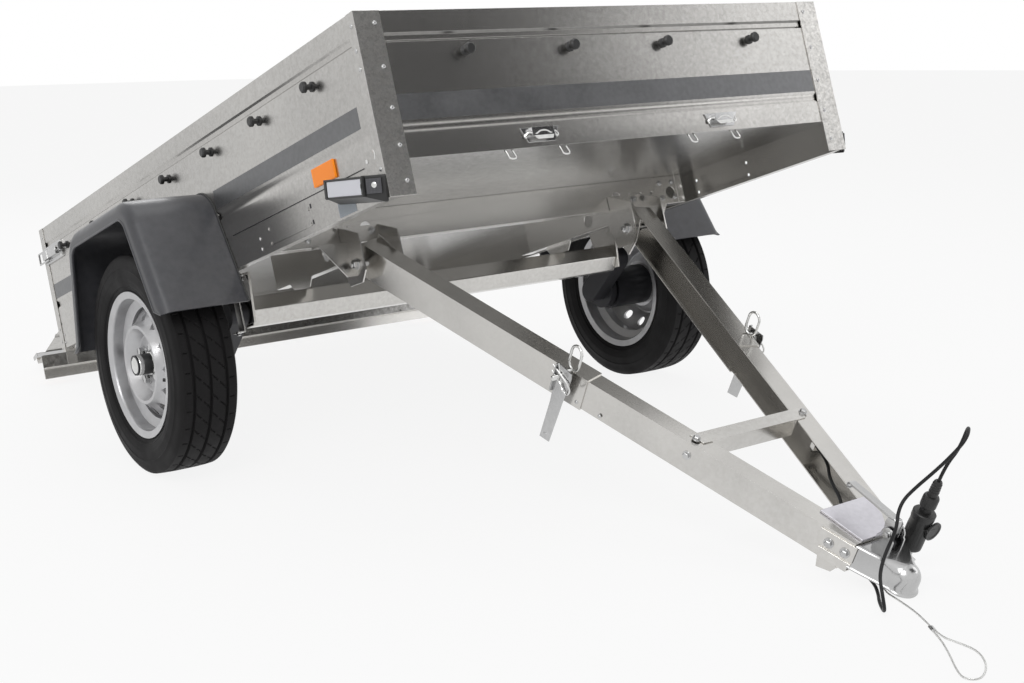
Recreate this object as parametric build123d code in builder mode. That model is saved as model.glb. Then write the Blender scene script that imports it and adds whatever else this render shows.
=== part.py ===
"""Small tipping utility trailer: a folded sheet-metal tub on a torsion axle, with a V drawbar
that folds at the tub's crossmember and a tailgate that drops at the rear.

Everything is in millimetres, +Z up, with the wheels on Z = 0. The trailer stands as it is parked
after tipping: on its two wheels and its coupling head, tub tipped back, tailgate edge on the ground.

Three tilted frames carry the pieces, each with X across the trailer:
  bed   origin at the tub's front bottom edge, y' to the rear along the tub, z' up from its floor
  bar   origin on the drawbar's fold axis, y' to the rear along the arms
  gate  origin on the tailgate's hinge axis, y' from the hinge to the gate's free edge
"""

import os
from math import asin, atan2, cos, degrees, hypot, pi, radians, sin, tan

from build123d import *

os.makedirs("parts", exist_ok=True)

# ---- driving dimensions -------------------------------------------------------------------
tub_w = 1330.0          # outside width over the corner posts
tub_l = 2064.0          # outside length
wall_top = 378.0        # height of the walls over the tub's bottom edge
floor_under = 80.0      # underside of the floor over the bottom edge
sheet = 2.0             # wall and floor sheet
post_t = 2.5            # corner post sheet
post_face_w = 62.0      # leg of the front posts seen from the front
post_side_w = 30.0      # leg of the posts seen from the side
rear_post_w = 40.0      # leg of the rear posts seen from behind
rim_w, rim_h = 20.0, 14.0   # folded rim along the top of the walls
rib_d = 4.0             # depth of the pressed ribs
rib_high_z, rib_high_w = 322.0, 10.0
rib_low_z, rib_low_w = 136.0, 12.0
side_flange = 26.0      # bottom flange of the side walls
crease_z, crease_w, crease_d = 75.0, 4.0, 1.0   # crease low on the side walls
lip_d = 16.0            # lower lip of the front wall
fit = 0.3               # clearance between curved faces that meet

tilt = 18.65            # tub tipped back from level

hub_y, hub_z = tub_l / 2 - 2, -166.6       # wheel centres, in the bed frame
axle_y, axle_z = hub_y - 130, -92.0         # axle tube, in the bed frame
axle_half = tub_w / 2 - 80          # axle tube's half length
axle_flat = 74.0                    # axle tube across its flats

tyre_r = 273.5
tyre_w = 157.0
tyre_x = tub_w / 2 + 107.5          # middle of the tyre from the trailer's centre plane
rim_r = 182.5           # rim flange
wheel_w = 138.0         # rim over its flanges
wheel_bolt_pcd, wheel_bolt_n = 98.0, 4

fold_y, fold_z = 521.0, -56.0       # drawbar fold axis, in the bed frame
bar_l = 1333.0          # fold axis to the coupling's ball centre
ball_r = 25.0
nose_r, brim_w, mouth_d = 32.0, 4.0, 24.0   # coupling nose, its bottom brim, ball centre to brim
arm_rear_x = tub_w / 2 - 251       # arm centreline at the fold axis
arm_front_x = 43.7      # arm centreline at its front end
head_l = 83.0           # arms' front ends to the ball centre
arm_front_y = bar_l - head_l
arm_h, arm_flange, arm_t = 70.0, 48.0, 3.0

gate_y, gate_z = tub_l + 17, 78.0   # tailgate hinge axis, in the bed frame
gate_w = tub_w - 30
gate_h = 296.0          # hinge axis to the free edge
gate_t = 20.0

# ---- the three frames ---------------------------------------------------------------------
s, c = sin(radians(tilt)), cos(radians(tilt))


def bed_height(y, z):
    """Height over the ground of a point of the bed frame, with the wheels on it."""
    return (z - hub_z) * c - (y - hub_y) * s + tyre_r


def bed_back(y, z):
    """Distance of a point of the bed frame behind the bed's origin, along the ground."""
    return y * c + z * s


def slope_to_ground(height, reach, depth):
    """Angle down to the ground of a piece hinged at a height, whose lowest corner is at
    `reach` along it and `depth` under it."""
    return degrees(asin(height / hypot(reach, depth)) - atan2(depth, reach))


bar_slope = slope_to_ground(bed_height(fold_y, fold_z), bar_l + nose_r + brim_w, mouth_d)
gate_slope = slope_to_ground(bed_height(gate_y, gate_z), gate_h, gate_t / 2)

low, up = sin(radians(bar_slope)), cos(radians(bar_slope))
front_reach = bed_back(fold_y, fold_z) - max(bar_l * up + nose_r, (bar_l + nose_r + brim_w) * up
                                             - (mouth_d - brim_w) * low)
low, up = sin(radians(gate_slope)), cos(radians(gate_slope))
rear_reach = bed_back(gate_y, gate_z) + gate_h * up + gate_t / 2 * low
origin_back = -(front_reach + rear_reach) / 2


def tilted(y, z, slope):
    """Plane on a line across the trailer; its y' axis rises by `slope` degrees to the rear."""
    e = radians(slope)
    return Plane(origin=(0, y, z), x_dir=(1, 0, 0), z_dir=(0, -sin(e), cos(e)))


bed = tilted(origin_back, bed_height(0, 0), -tilt)
bar = tilted(origin_back + bed_back(fold_y, fold_z), bed_height(fold_y, fold_z), bar_slope)
gate = tilted(origin_back + bed_back(gate_y, gate_z), bed_height(gate_y, gate_z), -gate_slope)


def across(frame, x):
    """Sketch plane square to X: its axes are the frame's y' and z', it extrudes to +X."""
    return Plane(origin=frame.from_local_coords((x, 0, 0)), x_dir=frame.y_dir, z_dir=frame.x_dir)


def facing(frame, y):
    """Sketch plane square to y': its axes are X and z', it extrudes to the front."""
    return Plane(origin=frame.from_local_coords((0, y, 0)), x_dir=frame.x_dir, z_dir=-frame.y_dir)


def block(frame, x, y, z, mode=Mode.ADD):
    """Box between pairs of coordinates in a frame."""
    with BuildSketch(frame.offset(z[0])) as foot:
        with Locations(((x[0] + x[1]) / 2, (y[0] + y[1]) / 2)):
            Rectangle(x[1] - x[0], y[1] - y[0])
    extrude(foot.sketch, amount=z[1] - z[0], mode=mode)


def rod(frame, x, y, z, r, mode=Mode.ADD):
    """Cylinder along X between a pair of x, at (y, z) in a frame."""
    with BuildSketch(across(frame, x[0])) as disc:
        with Locations((y, z)):
            Circle(r)
    extrude(disc.sketch, amount=x[1] - x[0], mode=mode)


def outline(plane, points, amount, mode=Mode.ADD):
    """Closed polygon on a plane, extruded."""
    with BuildSketch(plane) as face:
        with BuildLine():
            Polyline(*points, close=True)
        make_face()
    extrude(face.sketch, amount=amount, mode=mode)


def save(piece, label):
    piece.part.label = label
    export_step(piece.part, f"parts/{label}.step")


half_w = tub_w / 2
wall_x = half_w - post_t            # outer face of the side wall sheet
inner_x = wall_x - sheet            # inner face
front_face = post_t                 # outer face of the front wall sheet


def ribbed(t, low, high, lip_low, rim):
    """Wall section as (depth from the outer face, height) points: a folded sheet with two ribs."""
    ribs = [(rib_low_z, rib_low_w), (rib_high_z, rib_high_w)]
    outer, inner = [], []
    for z, w in ribs:
        outer += [(0, z - w), (rib_d, z - w / 2), (rib_d, z + w / 2), (0, z + w)]
        inner += [(t, z - w - t / 2), (rib_d + t, z - w / 2 - t / 2),
                  (rib_d + t, z + w / 2 + t / 2), (t, z + w + t / 2)]
    foot_out = [(lip_low, low), (0, low)]
    foot_in = [(t, low + t), (lip_low, low + t)]
    head_out = [(0, high), (rim, high)]
    head_in = [(rim, high - rim_h), (rim - t, high - rim_h), (rim - t, high - t), (t, high - t)]
    return foot_out + outer + head_out + head_in + inner[::-1] + foot_in


# ---- tub ----------------------------------------------------------------------------------
drain_y, drain_z, drain_r = (tub_l * 0.165, tub_l * 0.262), (19.0, 52.0), 4.0     # small holes low in the side walls
crease = [(0, crease_z - crease_w), (crease_d, crease_z), (0, crease_z + crease_w)]
for side, name in ((-1, "side_wall_left"), (1, "side_wall_right")):
    foot = ribbed(sheet, 0, wall_top, side_flange, rim_w)
    section = [(side * (wall_x - d), z) for d, z in foot[:2] + crease + foot[2:]]
    with BuildPart() as side_wall:
        outline(facing(bed, tub_l - post_t), section, tub_l - 2 * post_t)
        for y in drain_y:
            for z in drain_z:
                rod(bed, sorted((side * (wall_x + 1), side * (inner_x - 1))), y, z, drain_r, Mode.SUBTRACT)
    save(side_wall, name)

with BuildPart() as front_wall:
    section = [(front_face + d, z) for d, z in
               ribbed(sheet, floor_under - 6, wall_top, lip_d, rim_w)]
    outline(across(bed, -inner_x + rim_w), section, 2 * (inner_x - rim_w))
save(front_wall, "front_wall")

with BuildPart() as posts:
    for side in (-1, 1):
        outer = side * half_w
        for y, leg in ((0, post_face_w), (tub_l - post_t, rear_post_w)):
            block(bed, sorted((outer, outer - side * leg)), (y, y + post_t), (0, wall_top))
        for y in (0, tub_l - post_side_w):
            block(bed, sorted((outer, side * wall_x)), (y, y + post_side_w), (0, wall_top))
save(posts, "corner_posts")

with BuildPart() as floor:
    block(bed, (-inner_x + fit, inner_x - fit), (front_face + sheet + lip_d, tub_l - post_t - fit),
          (floor_under, floor_under + sheet))
save(floor, "floor")

# ---- chassis ------------------------------------------------------------------------------
beam_y, beam_low, beam_flange, beam_t = 575.0, 2.0, 40.0, 3.0
beam_h = floor_under - beam_low
beam_half = inner_x - side_flange
splice_x, splice_t = half_w - 53, 1.5     # doubler over the crossmember's ends
big_hole_r, big_holes = 16.0, (half_w - 273, half_w - 77)
small_hole_r, small_holes = 5.0, (half_w - 225, half_w - 187, half_w - 147)
channel = [(0, 0), (beam_flange, 0), (beam_flange, beam_t), (beam_t, beam_t), (beam_t, beam_h - beam_t),
           (beam_flange, beam_h - beam_t), (beam_flange, beam_h), (0, beam_h)]
with BuildPart() as crossmember:
    outline(across(bed, -beam_half), [(beam_y + y, beam_low + z) for y, z in channel], 2 * beam_half)
    for side in (-1, 1):
        xs = sorted((side * splice_x, side * beam_half))
        block(bed, xs, (beam_y - splice_t, beam_y), (beam_low, floor_under))
    with BuildSketch(facing(bed, beam_y + beam_t)) as holes:
        with Locations(*[(side * x, floor_under / 2 - 6) for x in big_holes for side in (-1, 1)]):
            Circle(big_hole_r)
        with Locations(*[(side * x, floor_under / 2 - 2) for x in small_holes for side in (-1, 1)]):
            Circle(small_hole_r)
    extrude(holes.sketch, amount=beam_t + splice_t, mode=Mode.SUBTRACT)
save(crossmember, "crossmember")

rear_beam_y = tub_l - 60.0
with BuildPart() as rear_beam:
    outline(across(bed, -beam_half), [(rear_beam_y + y, beam_low + z) for y, z in channel], 2 * beam_half)
save(rear_beam, "rear_crossmember")

rail_x, rail_flange, rail_low, rail_t = half_w - 245, 34.0, -30.0, 3.0
rail_end = axle_y + 140.0
rail_hole_y, rail_hole_z, rail_hole_r = axle_y - 156, 6.0, 18.0
rail_top = floor_under - rail_low
with BuildPart() as rail:
    for side in (-1, 1):
        section = [(0, 0), (rail_flange, 0), (rail_flange, rail_t), (rail_t, rail_t), (rail_t, rail_top - rail_t),
                   (rail_flange, rail_top - rail_t), (rail_flange, rail_top), (0, rail_top)]
        outline(facing(bed, rail_end), [(side * (rail_x - x), rail_low + z) for x, z in section],
                rail_end - beam_y - beam_flange)
        rod(bed, sorted((side * (rail_x + 1), side * (rail_x - rail_t - 1))), rail_hole_y, rail_hole_z,
            rail_hole_r, Mode.SUBTRACT)
        # saddle that carries the axle tube
        saddle = [(axle_y - 62, rail_low), (axle_y + 62, rail_low), (axle_y + 40, axle_z + axle_flat / 2 + fit),
                  (axle_y - 40, axle_z + axle_flat / 2 + fit)]
        outline(across(bed, min(side * rail_x, side * (rail_x - rail_t))), saddle, rail_t)
save(rail, "frame_rails")

with BuildPart() as axle_beam:
    with BuildSketch(across(bed, -axle_half)) as tube:
        with Locations((axle_y, axle_z)):
            RegularPolygon(axle_flat / 2, 6, major_radius=False)
            RegularPolygon(axle_flat / 2 - 5, 6, major_radius=False, mode=Mode.SUBTRACT)
    extrude(tube.sketch, amount=2 * axle_half)
save(axle_beam, "axle_beam")

with BuildPart() as bracket:
    for side in (-1, 1):
        x0 = side * axle_half
        xs = sorted((x0, x0 + side * 6))
        plate = [(axle_y - 60, beam_low), (axle_y + 60, beam_low), (axle_y + 42, axle_z - 30),
                 (axle_y - 42, axle_z - 30)]
        outline(across(bed, xs[0]), plate, 6)
        xs2 = sorted((side * (axle_half + 6), side * inner_x))
        block(bed, xs2, (axle_y - 60, axle_y + 60), (-4, 0))
        rod(bed, xs, axle_y, axle_z, 24 + fit, Mode.SUBTRACT)
save(bracket, "axle_brackets")

# trailing torsion arms with the stub axles
arm_in, arm_out = axle_half + 10, axle_half + 55
with BuildPart() as swing:
    for side in (-1, 1):
        rod(bed, sorted((side * (axle_half - 60), side * arm_out)), axle_y, axle_z, 24)
        reach, rise = hub_y - axle_y, hub_z - axle_z
        with BuildSketch(across(bed, side * arm_in if side > 0 else side * arm_out)) as web:
            with Locations(((axle_y + hub_y) / 2, (axle_z + hub_z) / 2)):
                SlotCenterToCenter(hypot(reach, rise), 62, rotation=degrees(atan2(rise, reach)))
        extrude(web.sketch, amount=arm_out - arm_in)
        rod(bed, sorted((side * (arm_out - 1), side * (arm_out + 20))), hub_y, hub_z, 55)
        rod(bed, sorted((side * (arm_out + 19), side * (tyre_x - 22))), hub_y, hub_z, 17)
save(swing, "torsion_arms")

# fold brackets that carry the drawbar under the crossmember
ear_t, ear_gap = 4.0, 51.0
pin_r = 8.0
wing_out, wing_low = 76.0, 62.0     # triangular wing outboard of each bracket
with BuildPart() as bracket:
    for side in (-1, 1):
        for offset in (-1, 1):
            x0 = side * arm_rear_x + offset * (ear_gap + ear_t / 2) - ear_t / 2
            ear = [(beam_y - beam_t, floor_under / 2), (beam_y - beam_t, beam_low), (beam_y + 30, beam_low - 1),
                   (fold_y + 50, fold_z - 45), (fold_y - 10, fold_z - 45), (fold_y - 34, fold_z - 20),
                   (fold_y - 34, 10)]
            outline(across(bed, x0), ear, ear_t)
            rod(bed, (x0, x0 + ear_t), fold_y, fold_z, pin_r + fit, Mode.SUBTRACT)
        x0, x1 = side * arm_rear_x - ear_gap - ear_t, side * arm_rear_x + ear_gap + ear_t
        block(bed, (x0, x1), (beam_y - beam_t, beam_y - splice_t), (beam_low, floor_under / 2))
        edge = arm_rear_x + ear_gap + ear_t
        wing = [(side * edge, beam_low), (side * (edge + wing_out), beam_low),
                (side * (edge + 14), beam_low - wing_low - 20), (side * edge, beam_low - wing_low - 20)]
        outline(facing(bed, beam_y - beam_t - 20), wing, ear_t)
        block(bed, sorted((side * edge, side * (edge + wing_out))), (beam_y - beam_t - 20 - ear_t, beam_y + 4),
              (beam_low - 4, beam_low - fit))
save(bracket, "fold_brackets")

# ---- drawbar ------------------------------------------------------------------------------
arm_len = hypot(arm_rear_x - arm_front_x, arm_front_y)
arm_tail = 34.0         # arm behind the fold axis
sleeve_t, sleeve_y = 3.0, 612.0     # outer channel over the arms' rear half
arm_slant = atan2(arm_rear_x - arm_front_x, arm_front_y)


def arm_x(y):
    """Arm centreline from the centre plane, y ahead of the fold axis."""
    return arm_rear_x - (arm_rear_x - arm_front_x) * y / arm_front_y


def arm_frame(side, y):
    """Plane square to an arm, y ahead of the fold axis: its x is up, its y is inward or outward."""
    rear = bar.from_local_coords((side * arm_x(y), -y, 0))
    front = bar.from_local_coords((side * arm_front_x, -arm_front_y, 0))
    return Plane(origin=rear, x_dir=bar.z_dir, z_dir=front - rear)


def channel_section(h, w, t):
    """Channel open to one side: (up, out) points, web on the +out side."""
    return [(-h, w), (h, w), (h, -w), (h - t, -w), (h - t, w - t), (-h + t, w - t), (-h + t, -w), (-h, -w)]


lock_y, lock_z = 566.0, 20.0
lock_r, lock_collar_r, lock_collar_l = 6.0, 12.0, 8.0
lock_x = arm_x(lock_y) + (arm_flange / 2 + sleeve_t + lock_collar_r * sin(arm_slant)) / cos(arm_slant) + fit
clip_y, clip_w, clip_l = 930.0, 14.0, 20.0      # boss on the right arm where the lighting cable comes out

for side, name in ((-1, "drawbar_arm_left"), (1, "drawbar_arm_right")):
    h, w = arm_h / 2, arm_flange / 2
    inner = [(u, -side * v) for u, v in channel_section(h, w, arm_t)]
    outer = [(u, -side * v) for u, v in channel_section(h + sleeve_t, w + sleeve_t, sleeve_t + 0.2)]
    with BuildPart() as arm:
        outline(arm_frame(side, -arm_tail), inner, arm_len + arm_tail + 30)
        outline(arm_frame(side, -arm_tail), outer, (sleeve_y + arm_tail) / cos(arm_slant))
        rod(bar, (side * arm_rear_x - 60, side * arm_rear_x + 60), 0, 0, pin_r + fit, Mode.SUBTRACT)
        rod(bar, sorted((side * lock_x, side * (lock_x - 16))), -lock_y, lock_z, lock_r + fit, Mode.SUBTRACT)
        block(bar, (-110, 110), (-arm_front_y - 60, -arm_front_y), (-60, 60), Mode.SUBTRACT)
        if side > 0:
            v0, v1 = w - arm_t - clip_l, w - arm_t + 0.5
            outline(arm_frame(side, clip_y), [(-clip_w / 2, -v0), (clip_w / 2, -v0), (clip_w / 2, -v1),
                                              (-clip_w / 2, -v1)], clip_w)
    save(arm, name)

# plates at the arms' rear ends, on the outside of their webs
end_plate_t, end_plate_l, end_plate_low, end_plate_high = 4.0, 46.0, 74.0, 50.0
with BuildPart() as end_plates:
    for side in (-1, 1):
        web = bar.from_local_coords((side * arm_rear_x, 0, 0))
        along = bar.from_local_coords((side * arm_x(100), -100, 0)) - web
        out = bar.z_dir.cross(along).normalized() * -side
        start = web + out * (arm_flange / 2 + sleeve_t)
        face = Plane(origin=start, x_dir=along, z_dir=out)
        rise = 1 if face.y_dir.Z > 0 else -1
        plate = [(-arm_tail, end_plate_high), (end_plate_l - 12, end_plate_high - 14), (end_plate_l, -20),
                 (end_plate_l - 18, -end_plate_low), (-arm_tail + 20, -end_plate_low), (-arm_tail, -46)]
        outline(face, [(u, rise * v) for u, v in plate], end_plate_t)
        x0 = side * arm_rear_x
        rod(bar, (x0 - 60, x0 + 60), 0, 0, pin_r + fit, Mode.SUBTRACT)
save(end_plates, "arm_end_plates")

with BuildPart() as fold_bolts:
    for side in (-1, 1):
        x = side * arm_rear_x
        rod(bar, (x - ear_gap - ear_t, x + ear_gap + ear_t), 0, 0, pin_r)
save(fold_bolts, "fold_bolts")

cross_y, cross_l, cross_h, cross_t = 868.0, 34.0, 40.0, 3.0
with BuildPart() as crosspiece:
    back, ahead = cross_y - cross_l / 2, cross_y + cross_l / 2
    outline(bar.offset(arm_h / 2), [(arm_x(back), -back), (-arm_x(back), -back), (-arm_x(ahead), -ahead),
                                    (arm_x(ahead), -ahead)], cross_t)
    for y0, y1 in ((-back - cross_t, -back), (-ahead, -ahead + cross_t)):
        reach = arm_x(-y0) - arm_flange / 2 / cos(arm_slant) - 1
        block(bar, (-reach, reach), (y0, y1), (arm_h / 2 - cross_h, arm_h / 2))
save(crosspiece, "drawbar_crosspiece")

plate_t = 5.0
gusset_y, gusset_short = arm_front_y - 104, arm_front_y - 50     # rear edge, and the front edge on its right
with BuildPart() as gusset:
    half = arm_x(gusset_y) - 8
    outline(bar.offset(arm_h / 2), [(-half, -gusset_y), (half, -gusset_y), (arm_x(gusset_short), -gusset_short),
                                    (24, -arm_front_y), (-arm_front_x - 8, -arm_front_y)], plate_t)
save(gusset, "drawbar_gusset")

# locking pins with oval rings, and the straps that hang from them
with BuildPart() as pin:
    for side in (-1, 1):
        x = side * lock_x
        rod(bar, sorted((x - side * 24, x + side * 31)), -lock_y, lock_z, lock_r)
        rod(bar, sorted((x, x + side * lock_collar_l)), -lock_y, lock_z, lock_collar_r)
        with BuildSketch(across(bar, min(x + side * 22, x + side * 27))) as ring:
            with Locations((-lock_y, lock_z)):
                with Locations((0, 29)):
                    SlotCenterToCenter(24, 26, rotation=90)
                    SlotCenterToCenter(24, 16, rotation=90, mode=Mode.SUBTRACT)
        extrude(ring.sketch, amount=5)
save(pin, "locking_pins")

strap_l, strap_w, strap_t = 140.0, 34.0, 3.0
strap_tip_w, strap_lip = 17.0, 9.0
with BuildPart() as strap:
    for side in (-1, 1):
        x = side * (lock_x + lock_collar_l + fit)
        # tapered leg hanging straight down, with a stiffening lip on its front edge
        leg = [(-strap_w / 2, 14), (strap_w / 2, 14), (strap_w / 2, -40), (strap_tip_w / 2, -strap_l),
               (-strap_tip_w / 2, -strap_l)]
        lip = [(-strap_w / 2, 14), (-strap_w / 2 + strap_t, 14), (-strap_w / 2 + strap_t, -60), (-strap_w / 2, -60)]
        for points, deep in ((leg, strap_t), (lip, strap_lip)):
            with BuildSketch(across(bar, min(x, x + side * deep))) as blade:
                with BuildLine():
                    Polyline(*[(-lock_y + u * cos(radians(bar_slope)) + v * sin(radians(bar_slope)),
                                lock_z - u * sin(radians(bar_slope)) + v * cos(radians(bar_slope)))
                               for u, v in points], close=True)
                make_face()
            extrude(blade.sketch, amount=deep)
        hang = strap_l - 16
        rod(bar, sorted((x - side, x + side * (strap_t + 1))), -lock_y - hang * sin(radians(bar_slope)),
            lock_z - hang * cos(radians(bar_slope)), 4.5, Mode.SUBTRACT)
        rod(bar, sorted((x - side, x + side * (strap_t + 1))), -lock_y, lock_z, lock_r + fit, Mode.SUBTRACT)
save(strap, "locking_straps")

# coupling head: a pressed body closing the arms' front ends, with the ball cup under its nose
head_half, head_wall, head_top = 66.0, 4.0, 30.0
cup_r = ball_r + 0.4
nose_axis = Axis(bar.from_local_coords((0, -bar_l, 0)), bar.z_dir)


def trapeze(grow, front):
    """The head's plan: wide where it meets the arms, narrow at the nose."""
    rear = -arm_front_y - max(-grow, 0)
    return [(-head_half - grow, rear), (head_half + grow, rear), (nose_r + grow, front), (-nose_r - grow, front)]


def half_ball(r):
    """Half disc about the nose's axis, to revolve."""
    with BuildSketch(across(bar, 0)) as profile:
        with Locations((-bar_l, 0)):
            Circle(r)
        with Locations((-bar_l + r, 0)):
            Rectangle(2 * r, 2 * r, mode=Mode.SUBTRACT)
    return profile.sketch


def nose(r, z):
    """Disc about the ball centre, between two heights."""
    with BuildSketch(bar.offset(z[0])) as disc:
        with Locations((0, -bar_l)):
            Circle(r)
    return disc.sketch, z[1] - z[0]


handle_y, handle_z = bar_l - 59.0, 62.0
handle_l, handle_top, handle_half, handle_pin_r, handle_boss_r = 135.0, 97.0, 11.0, 5.0, 9.0
lug_in, lug_t = 15.0, 4.0

with BuildPart() as coupling:
    front = -bar_l + 10
    outline(bar.offset(-mouth_d), trapeze(brim_w, front), brim_w)
    outline(bar.offset(-mouth_d), trapeze(0, front), mouth_d + head_top - 8)
    outline(bar.offset(head_top - 8), trapeze(-8, front + 16), 8)
    for r, z in ((nose_r + brim_w, (-mouth_d, -mouth_d + brim_w)), (nose_r, (-mouth_d, 0))):
        face, height = nose(r, z)
        extrude(face, amount=height)
    revolve(half_ball(nose_r), axis=nose_axis)
    block(bar, (-nose_r - 9, nose_r + 9), (-bar_l - nose_r - 9, -bar_l + nose_r + 9), (-nose_r - 9, -mouth_d),
          Mode.SUBTRACT)
    # hollow behind the cup, the ball cup itself, and the slot in the roof
    outline(bar.offset(-mouth_d), trapeze(-head_wall, -bar_l + cup_r + head_wall),
            mouth_d + head_top - head_wall, Mode.SUBTRACT)
    face, height = nose(cup_r, (-mouth_d, 0))
    extrude(face, amount=height, mode=Mode.SUBTRACT)
    revolve(half_ball(cup_r), axis=nose_axis, mode=Mode.SUBTRACT)
    block(bar, (-14, 14), (-bar_l + 24, -bar_l + 40), (8, head_top + 1), Mode.SUBTRACT)
    # two ears on the roof that carry the handle's pin
    for side in (-1, 1):
        ear = [(-handle_y - 17, head_top - 1), (-handle_y - 12, handle_z + 9), (-handle_y - 4, handle_z + 13),
               (-handle_y + 8, handle_z + 11), (-handle_y + 19, head_top - 1)]
        outline(across(bar, min(side * lug_in, side * (lug_in + lug_t))), ear, lug_t)
    rod(bar, (-40, 40), -handle_y, handle_z, handle_pin_r + fit, Mode.SUBTRACT)
save(coupling, "coupling_head")

with BuildPart() as handle:
    rod(bar, (-lug_in + fit, lug_in - fit), -handle_y, handle_z, handle_boss_r)
    rod(bar, (-lug_in - lug_t, lug_in + lug_t), -handle_y, handle_z, handle_pin_r)
    y0, y1, t = -handle_y - handle_boss_r, -handle_y + handle_l, 4.0
    grip = [(y0, handle_z), (y0 + 2, handle_top - 4), (y0 + 8, handle_top), (y1 - 7, handle_top), (y1, handle_top - 7),
            (y1, handle_top - 15), (y1 - 4, handle_top - 15), (y1 - 4, handle_top - 8), (y1 - 9, handle_top - t),
            (y0 + 26, handle_top - t), (y0 + 18, handle_z)]
    outline(across(bar, -handle_half), grip, 2 * handle_half)
    for side in (-1, 1):
        xs = sorted((side * handle_half, side * (handle_half - 2.5)))
        block(bar, xs, (y0 + 8, y1 - 12), (handle_top - 10, handle_top))
save(handle, "coupling_handle")

# foot under the arms behind the head: a plate with two tapered legs
foot_y0, foot_y1, foot_t, foot_deep = arm_front_y - 70, arm_front_y - 16, 3.0, 33.0
with BuildPart() as foot_plate:
    under = -arm_h / 2
    block(bar, (-75, 75), (-foot_y1, -foot_y0), (under - foot_t, under))
    for side in (-1, 1):
        leg = [(-foot_y0, under), (-foot_y0 - 9, under - foot_deep), (-foot_y1 + 10, under - foot_deep + 14),
               (-foot_y1, under)]
        outline(across(bar, min(side * 75, side * 72)), leg, 3)
    block(bar, (4, 24), (-foot_y1, -foot_y1 + foot_t), (under - 22, under))
save(foot_plate, "head_foot")

# ---- wheels -------------------------------------------------------------------------------
bead_r = 165.0          # bead seat
barrel_r = 144.0        # drop centre
rim_t = 3.5
hub_face = 26.0         # mounting face outboard of the wheel's middle
half_tread = 62.0
hat_x, cap_x = 60.0, 74.0           # crest of the disc's ring and the hub cap's end, outboard of the middle
vent_n, vent_pcd, vent_r = 12, 238.0, 12.2
half_rim = wheel_w / 2
wheel_axis = Axis(bed.from_local_coords((0, hub_y, hub_z)), bed.x_dir)


def wheel_section(side):
    """Half section of a wheel: x from the wheel's middle outward, y the radius."""
    return Plane(origin=bed.from_local_coords((side * tyre_x, hub_y, hub_z)),
                 x_dir=bed.x_dir * side, z_dir=bed.y_dir * -side)


def spun(plane, points, axis):
    """Closed profile on a plane, revolved about an axis."""
    with BuildSketch(plane) as profile:
        with BuildLine():
            Polyline(*points, close=True)
        make_face()
    revolve(profile.sketch, axis=axis)


bulge = tyre_w / 2
for side, name in ((-1, "left"), (1, "right")):
    seat = bead_r + fit
    outer = [(half_rim - 12, seat), (half_rim - 7.6, bead_r + 4.2), (half_rim - 4.6, rim_r + 1), (bulge - 4, rim_r + 14),
             (bulge, rim_r + 34), (bulge - 4, tyre_r - 30), (half_tread + 6, tyre_r - 9),
             (half_tread - 8, tyre_r - 2), (0, tyre_r)]
    inner = [(half_tread - 12, tyre_r - 15), (bulge - 14, tyre_r - 36),
             (bulge - 11, rim_r + 34), (half_rim - 18, rim_r + 6), (half_rim - 22, seat)]
    with BuildPart() as tyre:
        spun(wheel_section(side), outer + [(-x, r) for x, r in outer[-2::-1]]
             + [(-x, r) for x, r in inner[::-1]] + inner, wheel_axis)
    save(tyre, f"tyre_{name}")

    tyre_side = [(half_rim - 4, rim_r), (half_rim - 7, bead_r + 4), (half_rim - 11, bead_r), (34, bead_r),
                 (24, barrel_r), (-20, barrel_r), (-30, bead_r), (-half_rim + 11, bead_r),
                 (-half_rim + 7, bead_r + 4), (-half_rim + 4, rim_r)]
    air_side = [(-half_rim, rim_r), (-half_rim + 3, bead_r), (-half_rim + 9, bead_r - rim_t),
                (-32, bead_r - rim_t), (-22, barrel_r - rim_t), (26, barrel_r - rim_t),
                (36, bead_r - rim_t), (half_rim - 9, bead_r - rim_t), (half_rim - 3, bead_r),
                (half_rim, rim_r)]
    disc = [(4, barrel_r - rim_t), (12, barrel_r - rim_t), (20, 136), (44, 108), (hat_x, 98), (hat_x, 90),
            (46, 80), (hub_face + 6, 72), (hub_face + 4, 66), (hub_face + 4, 31), (hub_face, 31), (hub_face, 70),
            (42, 84), (hat_x - 5, 91), (hat_x - 5, 96), (38, 106), (15, 132)]
    with BuildPart() as rim:
        spun(wheel_section(side), tyre_side + air_side, wheel_axis)
        spun(wheel_section(side), disc, wheel_axis)
        for k in range(vent_n):
            turn = radians(360 / vent_n * (k + 0.5))
            rod(bed, sorted((side * tyre_x, side * (tyre_x + hat_x))), hub_y + vent_pcd / 2 * cos(turn),
                hub_z + vent_pcd / 2 * sin(turn), vent_r, Mode.SUBTRACT)
    save(rim, f"rim_{name}")

    with BuildPart() as hub:
        drum_in = arm_out + 26
        rod(bed, sorted((side * drum_in, side * (tyre_x + hub_face))), hub_y, hub_z, 60)
        rod(bed, sorted((side * (tyre_x + hub_face - 1), side * (tyre_x + cap_x - 14))), hub_y, hub_z, 23)
        rod(bed, sorted((side * (tyre_x + cap_x - 14), side * (tyre_x + cap_x))), hub_y, hub_z, 25)
        rod(bed, sorted((side * (drum_in - 1), side * (tyre_x - 20))), hub_y, hub_z, 17 + fit, Mode.SUBTRACT)
        for k in range(wheel_bolt_n):
            turn = radians(45 + 360 / wheel_bolt_n * k)
            y, z = hub_y + wheel_bolt_pcd / 2 * cos(turn), hub_z + wheel_bolt_pcd / 2 * sin(turn)
            rod(bed, sorted((side * (tyre_x + hub_face + 4), side * (tyre_x + hub_face + 17))), y, z, 9)
    save(hub, f"hub_{name}")

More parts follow.
